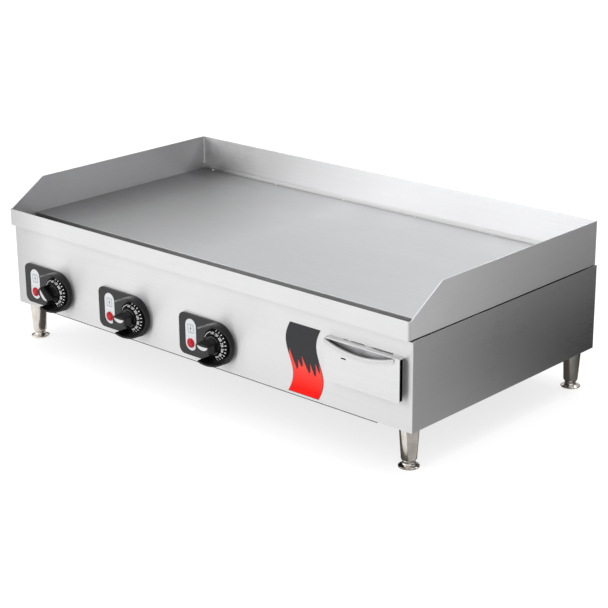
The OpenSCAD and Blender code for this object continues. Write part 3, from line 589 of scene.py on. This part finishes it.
def refined(node, mat, body, width, segments=2, pick=None):
    """A node's own shape with edges rounded by a width in mm, which stands for that node."""
    bm = from_node(node)
    rounded(bm, width * MM, segments, pick)
    piece(node + "_skin", bm, mat, body, (node,), smooth=32, weighted=True)


def lathe(bm, profile, centre, axis="z", turns=64, phase=0.0):
    """Revolves (radius, distance) pairs round an axis through a centre, in metres."""
    rings = []
    for radius, along in profile:
        ring = []
        for i in range(1 if radius < 1e-9 else turns):
            t = phase + 2 * math.pi * i / turns
            u, v = radius * math.cos(t), radius * math.sin(t)
            offset = (u, along, v) if axis == "y" else (u, v, along)
            ring.append(bm.verts.new(centre + Vector(offset)))
        rings.append(ring)
    for a, b in zip(rings, rings[1:]):
        for i in range(turns):
            j = (i + 1) % turns
            corners = [a[i % len(a)], a[j % len(a)], b[j % len(b)], b[i % len(b)]]
            corners = [c for k, c in enumerate(corners) if c not in corners[:k]]
            if len(corners) > 2:
                bm.faces.new(corners)
    return rings


def bridge(bm, a, b):
    """Faces between two closed rings with the same number of corners."""
    for i in range(len(a)):
        j = (i + 1) % len(a)
        bm.faces.new((a[i], a[j], b[j], b[i]))


def prism(bm, outline, y0, y1, centre=ORIGIN):
    """Extrudes an outline of (x, z) pairs from y0 to y1, in metres."""
    front = [bm.verts.new(centre + Vector((x, y0, z))) for x, z in outline]
    back = [bm.verts.new(centre + Vector((x, y1, z))) for x, z in outline]
    bridge(bm, front, back)
    caps = [bm.faces.new(front), bm.faces.new(list(reversed(back)))]
    bmesh.ops.triangulate(bm, faces=caps)


def arc(cx, cz, r, start, steps):
    """Points of a quarter circle that starts at an angle in degrees."""
    angles = [math.radians(start + 90 * i / steps) for i in range(steps + 1)]
    return [(cx + r * math.cos(a), cz + r * math.sin(a)) for a in angles]


def rounded_rectangle(length, width, r, steps):
    """Outline of (x, z) pairs round the origin."""
    x, z = length / 2 - r, width / 2 - r
    corners = ((x, z, 0), (-x, z, 90), (-x, -z, 180), (x, -z, 270))
    return [point for cx, cz, start in corners for point in arc(cx, cz, r, start, steps)]


def brick(bm, lo, hi):
    """A closed box between two corners."""
    corners = [bm.verts.new((x, y, z))
               for x in (lo[0], hi[0]) for y in (lo[1], hi[1]) for z in (lo[2], hi[2])]
    for face in ((0, 1, 3, 2), (4, 6, 7, 5), (0, 4, 5, 1), (2, 3, 7, 6), (0, 2, 6, 4), (1, 5, 7, 3)):
        bm.faces.new([corners[i] for i in face])


def text_into(bm, text, size, matrix, thick):
    """Adds numerals of a given size and thickness, placed by a matrix."""
    curve = bpy.data.curves.new("numeral", "FONT")
    curve.body = text
    curve.size = size
    curve.align_x = "CENTER"
    curve.align_y = "CENTER"
    curve.resolution_u = 3
    curve.extrude = thick / 2
    curve.offset = size * 0.012
    holder = bpy.data.objects.new("numeral", curve)
    bpy.context.scene.collection.objects.link(holder)
    bpy.context.view_layer.update()
    graph = bpy.context.evaluated_depsgraph_get()
    mesh = bpy.data.meshes.new_from_object(holder.evaluated_get(graph))
    mesh.transform(matrix)
    bm.from_mesh(mesh)
    bpy.data.meshes.remove(mesh)
    bpy.data.objects.remove(holder)
    bpy.data.curves.remove(curve)


# ------------------------------------------------------------------ sheet metal

refined("griddle_plate", PLATE, "chassis", width=1.0, segments=3)
refined("splash_left", GUARD_LEFT, "chassis", width=0.4)
refined("splash_right", GUARD_RIGHT, "chassis", width=0.4)
for side in ("left", "right"):
    refined("side_panel_" + side, STAINLESS_Y, "chassis", width=0.3)
refined("splash_rear", GUARD_REAR, "chassis", width=0.4)
refined("front_apron", STAINLESS_X, "chassis", width=0.4)
refined("grease_trough", TROUGH, "chassis", width=0.4)
refined("front_panel", STAINLESS_X, "chassis", width=0.7, segments=3,
        pick=lambda e: all(v.co.y < PANEL_Y + NEAR for v in e.verts))
refined("rear_panel", ZINC_SHEET, "chassis", width=0.6,
        pick=lambda e: all(v.co.y > REAR_Y - NEAR for v in e.verts))
refined("bottom_cover", PAINTED_SHADE_SHEET, "chassis", width=0.5,
        pick=lambda e: all(v.co.z < UNDER_Z + NEAR for v in e.verts))
refined("cord_gland", GLAND, "chassis", width=0.5)
refined("drawer_front", DRAWER, "drawer", width=0.35)
refined("drawer_pan", PAN, "drawer", width=0.3)


# ------------------------------------------------------------------ welds


def weld_beads():
    """Rippled beads up the two rear corners, and plug welds along the rear guard's foot."""
    bm = bmesh.new()
    inner_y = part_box("splash_rear")[0].y + 3 * MM
    foot, top = PLATE_TOP + 9 * MM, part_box("corner_welds")[1].z
    rows, spokes = 90, 6
    fan = [math.pi / 2 * k / spokes for k in range(spokes + 1)]
    for side, x in ((-1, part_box("splash_left")[1].x), (1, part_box("splash_right")[0].x)):
        rings = []
        for i in range(rows + 1):
            z = foot + (top - foot) * i / rows
            ripple = 0.22 * math.sin(i * 1.9) + 0.12 * noise.noise(Vector((x * 10, 0, i * 0.7)))
            r = (1.75 + ripple) * MM
            corners = [(x - side * r * math.cos(t), inner_y - r * math.sin(t), z) for t in fan]
            rings.append([bm.verts.new(corner) for corner in corners + [(x, inner_y, z)]])
        for a, b in zip(rings, rings[1:]):
            bridge(bm, a, b)
        bm.faces.new(rings[0])
        bm.faces.new(list(reversed(rings[-1])))
    plugs, first_x, pitch = 6, -427 * MM, 170 * MM
    plug = mm((0, 1.35), (0.7, 1.2), (1.3, 0.8), (1.75, 0), (0, 0))
    for k in range(plugs):
        centre = Vector((first_x + pitch * k, inner_y - 4.9 * MM, PLATE_TOP))
        lathe(bm, plug, centre, "z", turns=16)
    piece("corner_weld_beads", bm, WELD, "chassis", ("corner_welds",), smooth=50)


weld_beads()


# ------------------------------------------------------------------ controls


def dial_height(r):
    """How far the conical dial stands in front of the panel, at radius r."""
    inner, outer, crest, edge = 17.3 * MM, 27.0 * MM, 15.2 * MM, 9.5 * MM
    t = min(1.0, max(0.0, (r - inner) / (outer - inner)))
    return crest + (edge - crest) * t


def dial_face(side, centre):
    """Black printed film over the conical dial and the well inside it."""
    bm = bmesh.new()
    film_thick = 0.06 * MM
    profile = mm((6.2, 10.5), (17.2, 10.5), (17.2, 15.1), (17.5, 15.1), (26.7, 9.7))
    lathe(bm, [(r, -stand - film_thick) for r, stand in profile], centre, "y", turns=72)
    piece("dial_face_" + side, bm, DIAL, "chassis", smooth=30)


def dial_marks(side, centre):
    """White scale on the fixed dial: ticks, numerals and an arc in place of an off mark.

    Angles are in degrees, anticlockwise from three o'clock.
    """
    bm = bmesh.new()
    back, front = -0.05 * MM, -0.12 * MM
    ticks, first_tick, tick_step = 12, 80, 14.3
    tick_foot, tick_end, tick_half = 23.9 * MM, 26.4 * MM, 0.62 * MM
    for k in range(ticks):
        turn = Matrix.Rotation(-math.radians(first_tick - tick_step * k), 4, "Y")
        start = len(bm.verts)
        brick(bm, (tick_foot, front, -tick_half), (tick_end, back, tick_half))
        bm.verts.ensure_lookup_table()
        bmesh.ops.transform(bm, matrix=turn, verts=bm.verts[start:])
    first_numeral, numeral_step = 95, 27
    numeral_r, numeral_size, numeral_thick = 20.2 * MM, 4.9 * MM, 0.14 * MM
    for k, value in enumerate(("100", "150", "200", "250", "300", "350", "400")):
        angle = math.radians(first_numeral - numeral_step * k - 90)
        matrix = (Matrix.Translation((0, back, 0)) @ Matrix.Rotation(math.pi / 2, 4, "X")
                  @ Matrix.Rotation(angle, 4, "Z") @ Matrix.Translation((0, numeral_r, 0)))
        text_into(bm, value, numeral_size, matrix, numeral_thick)
    arc_start, arc_step, arc_inner, arc_outer = 106, 5.2, 21.6 * MM, 22.5 * MM
    sweep = [math.radians(arc_start + arc_step * k) for k in range(11)]
    band = [(arc_outer * math.cos(a), arc_outer * math.sin(a)) for a in sweep]
    band += [(arc_inner * math.cos(a), arc_inner * math.sin(a)) for a in reversed(sweep)]
    prism(bm, band, front, back)
    for vert in bm.verts:
        vert.co.y -= dial_height(math.hypot(vert.co.x, vert.co.z))
    bmesh.ops.translate(bm, vec=centre, verts=bm.verts)
    piece("dial_marks_" + side, bm, MARKS, "chassis")


def knob(side, centre, turn):
    """Skirted hub on its shaft, and a tapered finger blade with a silver crescent on its face."""
    place = Matrix.Translation(centre) @ Matrix.Rotation(turn, 4, "Y")
    hub = mm((0, -11.0), (15.9, -11.0), (16.4, -11.5), (16.4, -15.6), (15.9, -16.6), (15.0, -17.0),
             (13.9, -17.2), (13.4, -17.6), (13.3, -20.2), (12.7, -20.9), (0, -21.0))
    shaft = mm((0, -12), (3, -12), (3, 25.4), (2.5, 26), (0, 26))
    bm = bmesh.new()
    lathe(bm, hub, ORIGIN, "y", turns=72)
    lathe(bm, shaft, ORIGIN, "y", turns=32)
    levels = ((30.0, 16.0, 1.7, -18), (29.8, 13.2, 1.5, -38.4), (28.6, 12.0, 1.0, -39.25))
    rings = []
    for length, width, corner_r, y in levels:
        outline = rounded_rectangle(length * MM, width * MM, corner_r * MM, 6)
        rings.append([bm.verts.new((x, y * MM, z)) for x, z in outline])
    for a, b in zip(rings, rings[1:]):
        bridge(bm, a, b)
    bm.faces.new(rings[-1])
    bm.faces.new(list(reversed(rings[0])))
    bmesh.ops.transform(bm, matrix=place, verts=bm.verts)
    body = "knob_" + side + "_body"
    piece("knob_" + side + "_moulding", bm, KNOB, body, ("knob_" + side,),
          smooth=28, weighted=True)
    bm = bmesh.new()
    top, sag, half, middle, bulge = 4.9 * MM, 6.9 * MM, 12.0 * MM, 1.0 * MM, 0.9 * MM
    start, step = -88, 11
    outline = [(middle + half * math.sin(a), top - sag * math.cos(a) ** 1.2)
               for a in (math.radians(start + step * k) for k in range(17))]
    outline += [(middle + half * u / 6, top - bulge * (1 - (u / 6) ** 2)) for u in range(5, -6, -1)]
    inlay_front, inlay_back = -39.45 * MM, -39.1 * MM
    prism(bm, outline, inlay_front, inlay_back)
    bmesh.ops.transform(bm, matrix=place, verts=bm.verts)
    piece("knob_" + side + "_inlay", bm, CRESCENT, body)


def label(side, centre):
    """Pill-shaped film with a small outlined zone icon: a square round two bars and a diamond."""
    refined("label_" + side, LABEL, "chassis", width=0.08, segments=1)
    bm = bmesh.new()
    back, front = -3.42 * MM, -3.47 * MM
    half_x, half_z, line = 6.6 * MM, 7.4 * MM, 0.75 * MM
    outer = rounded_rectangle(2 * half_x, 2 * half_z, 1.5 * MM, 4)
    inner = [(x * (1 - line / half_x), z * (1 - line / half_z)) for x, z in outer]
    rings = [[bm.verts.new(centre + Vector((x, y, z))) for x, z in outline]
             for outline, y in ((outer, back), (outer, front), (inner, front), (inner, back))]
    for a, b in zip(rings, rings[1:] + rings[:1]):
        bridge(bm, a, b)
    bar_x, bar_near, bar_far, tip_x, tip_z = 0.35 * MM, 2.4 * MM, 6.0 * MM, 1.9 * MM, 2.3 * MM
    for z0, z1 in ((-bar_far, -bar_near), (bar_near, bar_far)):
        brick(bm, centre + Vector((-bar_x, front, z0)), centre + Vector((bar_x, back, z1)))
    prism(bm, [(0, tip_z), (-tip_x, 0), (0, -tip_z), (tip_x, 0)], front, back, centre)
    piece("label_icon_" + side, bm, ICON, "chassis")


def lamp(side):
    """Pilot lamp: faceted red lens on a flange, with its barrel and two tags behind."""
    lo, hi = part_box("pilot_lamp_" + side)
    centre = Vector(((lo.x + hi.x) / 2, 0, (lo.z + hi.z) / 2))
    facets = 12

    def behind(*pairs):
        """Radii and depths behind the lamp's tip, in mm."""
        return [(r, lo.y + depth) for r, depth in mm(*pairs)]

    bm = bmesh.new()
    lathe(bm, behind((0, 3.2), (7.95, 3.2), (7.95, 1.7), (7.4, 1.25)), centre, "y", turns=48)
    lathe(bm, behind((7.4, 1.25), (6.7, 1.1)), centre, "y", turns=48)
    outer = lathe(bm, behind((6.75, 1.3), (6.5, 0.85)), centre, "y", turns=facets)[-1]
    inner = lathe(bm, behind((4.1, 0.2)), centre, "y", turns=facets, phase=math.pi / facets)[0]
    tip = bm.verts.new(centre + Vector((0, lo.y, 0)))
    for i in range(facets):
        j = (i + 1) % facets
        bm.faces.new((outer[i], outer[j], inner[i]))
        bm.faces.new((outer[j], inner[j], inner[i]))
        bm.faces.new((inner[i], inner[j], tip))
    start, end, r = lo.y + 2.5 * MM, PANEL_Y + 24 * MM, 6.0 * MM
    lathe(bm, [(0, start), (r, start), (r, end), (0, end)], centre, "y", turns=40)
    half_x, half_z = 0.4 * MM, 2.4 * MM
    for x in (centre.x - 3 * MM, centre.x + 3 * MM):
        brick(bm, (x - half_x, end - 1 * MM, centre.z - half_z), (x + half_x, hi.y, centre.z + half_z))
    piece("pilot_lens_" + side, bm, LENS, "chassis", ("pilot_lamp_" + side,))


for side in SIDES:
    pivot = Vector(JOINTS["knob_" + side + "_turn"]["pos_m"])
    axis_point = Vector((pivot.x, PANEL_Y, pivot.z))
    refined("bezel_" + side, bezel_plastic(side, axis_point), "chassis", width=0.45)
    dial_face(side, axis_point)
    dial_marks(side, axis_point)
    knob(side, axis_point, math.radians(LEFT_KNOB_TURN if side == "left" else 0))
    film_lo, film_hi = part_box("label_" + side)
    icon_z = (film_lo.z + film_hi.z) / 2 + 10.6 * MM
    label(side, Vector(((film_lo.x + film_hi.x) / 2, PANEL_Y, icon_z)))
    lamp(side)


# ------------------------------------------------------------------ badge


def grid(bm, columns, y_front, y_back):
    """A closed thin sheet over a grid of (x, z) columns, each listed from foot to top."""
    layers = [[[bm.verts.new((x, y, z)) for x, z in column] for column in columns] for y in (y_front, y_back)]
    wide, tall = len(columns), len(columns[0])
    for layer in layers:
        for i in range(wide - 1):
            for j in range(tall - 1):
                bm.faces.new((layer[i][j], layer[i + 1][j], layer[i + 1][j + 1], layer[i][j + 1]))
    rim = [(i, 0) for i in range(wide)] + [(wide - 1, j) for j in range(1, tall)]
    rim += [(i, tall - 1) for i in range(wide - 2, -1, -1)] + [(0, j) for j in range(tall - 2, 0, -1)]
    for (i, j), (k, m) in zip(rim, rim[1:] + rim[:1]):
        bm.faces.new((layers[0][i][j], layers[0][k][m], layers[1][k][m], layers[1][i][j]))


def tongue_height(u):
    """Height of the red print's edge, in mm, across the badge: plain pointed waves."""
    tips = ((0.0, 133), (0.07, 143), (0.15, 111), (0.27, 128), (0.34, 117), (0.45, 135),
            (0.56, 110), (0.67, 127), (0.74, 108), (0.86, 130), (0.92, 115), (1.0, 134))
    bow = 1.9
    for (u0, h0), (u1, h1) in zip(tips, tips[1:]):
        if u <= u1:
            t = (u - u0) / (u1 - u0)
            return h0 + (h1 - h0) * (t ** bow if h1 > h0 else 1 - (1 - t) ** bow)
    return tips[-1][1]


def badge():
    """Charcoal sticker with wavy sides, and a lower part printed red with plain generic tongues."""
    lo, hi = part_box("badge")
    lean, swing, period, middle_z = 0.106, 10.6 * MM, 129 * MM, 129.5 * MM
    rows, columns = 48, 12

    def wave(z):
        up = z - middle_z
        return lean * up - swing * math.sin(2 * math.pi * up / period)

    heights = [lo.z + (hi.z - lo.z) * j / rows for j in range(rows + 1)]
    swings = [wave(z) for z in heights[::2]]
    middle = (lo.x - min(swings) + hi.x - max(swings)) / 2
    half = (hi.x - lo.x - max(swings) + min(swings)) / 2

    def spot(u, z, inset=0.0):
        """A point of the badge: u runs from 0 at its left edge to 1 at its right edge."""
        return (middle + wave(z) + (2 * u - 1) * (half - inset), z)

    bm = bmesh.new()
    cells = [[spot(i / columns, z) for z in heights] for i in range(columns + 1)]
    grid(bm, cells, PANEL_Y - 0.38 * MM, PANEL_Y)
    piece("badge_film_sheet", bm, BADGE, "chassis", ("badge",))
    bm = bmesh.new()
    foot, margin = lo.z + 0.8 * MM, 0.6 * MM
    rows, columns = 30, 160
    printed = []
    for i in range(columns + 1):
        u = i / columns
        crest = tongue_height(u) * MM
        printed.append([spot(u, foot + (crest - foot) * j / rows, margin) for j in range(rows + 1)])
    grid(bm, printed, PANEL_Y - 0.44 * MM, PANEL_Y - 0.36 * MM)
    piece("badge_red_print", bm, FLAME, "chassis")


badge()


# ------------------------------------------------------------------ screws


def screw_part(name, build):
    """A closed mesh made by a function that fills a bmesh."""
    bm = bmesh.new()
    build(bm)
    bmesh.ops.recalc_face_normals(bm, faces=bm.faces)
    mesh = bpy.data.meshes.new(name)
    bm.to_mesh(mesh)
    bm.free()
    return mesh


def screw_mesh(radius, height):
    """A pan head with a cross recess, standing on z = 0."""
    dome = [(0, 0), (radius, 0), (radius, height * 0.45), (radius * 0.93, height * 0.75),
            (radius * 0.72, height * 0.94), (0, height)]
    thin, wide = radius * 0.13, radius * 0.55

    def head(bm):
        lathe(bm, dome, ORIGIN, "z", turns=40)

    def cross(bm):
        for x, y in ((wide, thin), (thin, wide)):
            brick(bm, (-x, -y, height * 0.45), (x, y, height * 2))

    meshes = [screw_part("head", head), screw_part("cross", cross)]
    objects = [bpy.data.objects.new("screw_tool", mesh) for mesh in meshes]
    for obj in objects:
        bpy.context.scene.collection.objects.link(obj)
    cut = objects[0].modifiers.new("recess", "BOOLEAN")
    cut.object = objects[1]
    cut.operation = "DIFFERENCE"
    cut.solver = "EXACT"
    cut.use_self = True
    bpy.context.view_layer.update()
    graph = bpy.context.evaluated_depsgraph_get()
    made = bpy.data.meshes.new_from_object(objects[0].evaluated_get(graph))
    for obj in objects:
        bpy.data.objects.remove(obj)
    return made


def screws():
    """The rear panel's and the bottom cover's screws, each turned by an angle that goes with its place."""
    head = screw_mesh(4 * MM, 2.2 * MM)
    shank = mm((0, 0.1), (2, 0.1), (2, -7.5), (1.5, -8), (0, -8))
    to_rear = Matrix.Rotation(-math.pi / 2, 4, "X")
    down = Matrix.Rotation(math.pi, 4, "X")
    rear_x, rear_z = (-445, -150, 100, 445), (79, 198)
    under_x, under_y = (-370, -185, 0, 185, 370), (18, 462)
    rear = [Vector((x * MM, REAR_Y, z * MM)) for x in rear_x for z in rear_z]
    under = [Vector((x * MM, PANEL_Y + y * MM, UNDER_Z)) for x in under_x for y in under_y]
    spin = 40
    bm = bmesh.new()
    for place, turn in [(spot, to_rear) for spot in rear] + [(spot, down) for spot in under]:
        matrix = Matrix.Translation(place) @ turn @ Matrix.Rotation(place.x * spin, 4, "Z")
        start = len(bm.verts)
        bm.from_mesh(head)
        lathe(bm, shank, ORIGIN, "z", turns=20)
        bm.verts.ensure_lookup_table()
        bmesh.ops.transform(bm, matrix=matrix, verts=bm.verts[start:])
    bpy.data.meshes.remove(head)
    piece("panel_screw_heads", bm, SCREW, "chassis", ("panel_screws",), smooth=40)


screws()


# ------------------------------------------------------------------ legs and feet

for corner in FEET:
    refined("leg_" + corner, NICKEL, "chassis", width=0.35)
    refined("foot_" + corner, NICKEL, "foot_" + corner + "_body", width=0.3)


# ------------------------------------------------------------------ stage


# The cards on the floor lie just above it, one on each side of an edge under the body's right side.
CARD_Z = 1.2 * MM
CARD_EDGE_X = 452 * MM


def sheet(name, corners, mat):
    """A flat stage sheet through its corners."""
    bm = bmesh.new()
    bm.faces.new([bm.verts.new(corner) for corner in corners])
    mesh = bpy.data.meshes.new(name)
    bm.to_mesh(mesh)
    bm.free()
    mesh.materials.append(mat)
    obj = bpy.data.objects.new(name, mesh)
    bpy.context.scene.collection.objects.link(obj)
    return obj


def level_sheet(name, lo, hi, z, mat):
    """A stage sheet at one height, between two (x, y) corners."""
    return sheet(name, ((lo[0], lo[1], z), (hi[0], lo[1], z), (hi[0], hi[1], z), (lo[0], hi[1], z)), mat)


def reflections_only(card):
    """Leaves a card visible to glossy rays alone."""
    for ray in ("camera", "diffuse", "transmission", "volume_scatter", "shadow"):
        setattr(card, "visible_" + ray, False)


def pale_floor():
    """A pale floor with a faint mottle that glows a little, so that shadows on it stay light."""
    f = Finish("pale_floor", Emission_Color=(1.0, 1.0, 1.0, 1.0), Emission_Strength=0.76)
    color = f.mix(f.noise(evenly(2), detail=3.0), (0.30, 0.30, 0.30), (0.33, 0.33, 0.33))
    half = 14
    level_sheet("floor", (-half, -half), (half, half), 0.0, f.done(color, 0.85))


def shade_card():
    """A dark studio card on the floor at the right, which pales away from the object."""
    g = Glow("shade_card")
    near = g.ease(g.axis("Y"), -0.15, 0.40, 0.52, 0.04)
    far = g.ease(g.axis("Y"), 0.3, 1.15, 0.98, 0.26)
    away = g.ease(g.axis("X"), 0.70, 1.02, 0.0, 1.0)
    mat = g.done((1.0, 0.99, 0.985), g.between(away, near, far))
    front_y, rear_y, right_x = -0.9, 3.4, 3.4
    reflections_only(level_sheet("shade_card", (CARD_EDGE_X, front_y), (right_x, rear_y), CARD_Z, mat))


def under_card():
    """A dark card on the floor beneath the body, so that the legs show their bands."""
    f = Finish("under_card", Emission_Color=(1.0, 0.93, 0.86, 1.0), Emission_Strength=0.06)
    mat = f.done((0.02, 0.018, 0.016), 0.9)
    left_x, front_y, rear_y = -0.405, PANEL_Y - 0.03, PANEL_Y + 0.47
    reflections_only(level_sheet("under_card", (left_x, front_y), (CARD_EDGE_X, rear_y), CARD_Z, mat))


def rear_flag():
    """A dark studio flag behind the left corner, which pales upwards and to the right."""
    g = Glow("rear_flag")
    upwards = g.ease(g.axis("Z"), 0.34, 0.66, 0.0, 1.0)
    rightwards = g.ease(g.axis("X"), -0.80, -0.36, 0.0, 1.0)
    pale = g.math("MAXIMUM", upwards, rightwards)
    mat = g.done((1.0, 1.0, 1.0), g.remap(pale, 0.0, 1.0, 0.02, 0.92))
    left, right = (-1.75, 0.05), (-0.30, 1.20)
    foot, top = 0.002, 0.70
    corners = ((*left, foot), (*right, foot), (*right, top), (*left, top))
    reflections_only(sheet("rear_flag", corners, mat))


pale_floor()
shade_card()
under_card()
rear_flag()


def area_light(name, place, target, size, power):
    """A rectangular lamp that faces a target and isn't seen itself."""
    data = bpy.data.lights.new(name, "AREA")
    data.shape = "RECTANGLE"
    data.size, data.size_y = size
    data.energy = power
    obj = bpy.data.objects.new(name, data)
    bpy.context.scene.collection.objects.link(obj)
    obj.location = place
    obj.rotation_euler = (Vector(target) - Vector(place)).to_track_quat("-Z", "Y").to_euler()
    obj.visible_camera = False


area_light("key_softbox", (-2.3, -2.7, 1.7), target=(0, 0, 0.15), size=(3.0, 2.2), power=28)
area_light("top_softbox", (0.2, 0.3, 2.8), target=(0, 0, 0.1), size=(2.6, 2.2), power=22)
area_light("edge_strip", (0.55, 1.10, 1.40), target=(0, -0.2, 0.13), size=(0.9, 0.18), power=4.5)


def world():
    """Pale studio surround, darker low down towards the rear right."""
    made = bpy.data.worlds.new("studio")
    bpy.context.scene.world = made
    made.use_nodes = True
    w = Nodes(made.node_tree, "Generated")
    toward_rear_right = (0.74, 0.67, 0.0)
    facing = w.node("ShaderNodeVectorMath", operation="DOT_PRODUCT")
    w.feed(facing.inputs[0], w.coord)
    w.feed(facing.inputs[1], toward_rear_right)
    rear_right = w.ease(facing.outputs["Value"], 0.15, 0.80, 0.0, 1.0)
    low = w.ease(w.axis("Z"), 0.45, 0.85, 1.0, 0.0)
    back = w.node("ShaderNodeBackground")
    w.feed(back.inputs["Color"], (1.0, 1.0, 1.0))
    w.feed(back.inputs["Strength"], w.remap(w.times(rear_right, low), 0.0, 1.0, 0.92, 0.12))
    out = w.node("ShaderNodeOutputWorld")
    w.link(back.outputs[0], out.inputs["Surface"])


world()
bpy.context.scene.view_settings.view_transform = "Standard"


def camera():
    """The view from the front right and above. Angles are in radians and the lens in mm."""
    yaw, pitch, roll = 0.7413, 0.3278, -0.0079
    place = Vector((1.87361, PANEL_Y - 1.77466, 1.05475))
    data = bpy.data.cameras.new("photo_camera")
    data.sensor_width = 36
    data.lens = 99.13
    data.shift_x = -0.00413
    data.shift_y = -0.01474
    data.clip_end = 60
    obj = bpy.data.objects.new("photo_camera", data)
    bpy.context.scene.collection.objects.link(obj)
    ahead = Vector((-math.sin(yaw) * math.cos(pitch), math.cos(yaw) * math.cos(pitch), -math.sin(pitch)))
    side = ahead.cross(Vector((0, 0, 1))).normalized()
    up = side.cross(ahead)
    right = side * math.cos(roll) + up * math.sin(roll)
    top = up * math.cos(roll) - side * math.sin(roll)
    turn = Matrix((right, top, -ahead)).transposed().to_4x4()
    obj.matrix_world = Matrix.Translation(place) @ turn
    bpy.context.scene.camera = obj


camera()
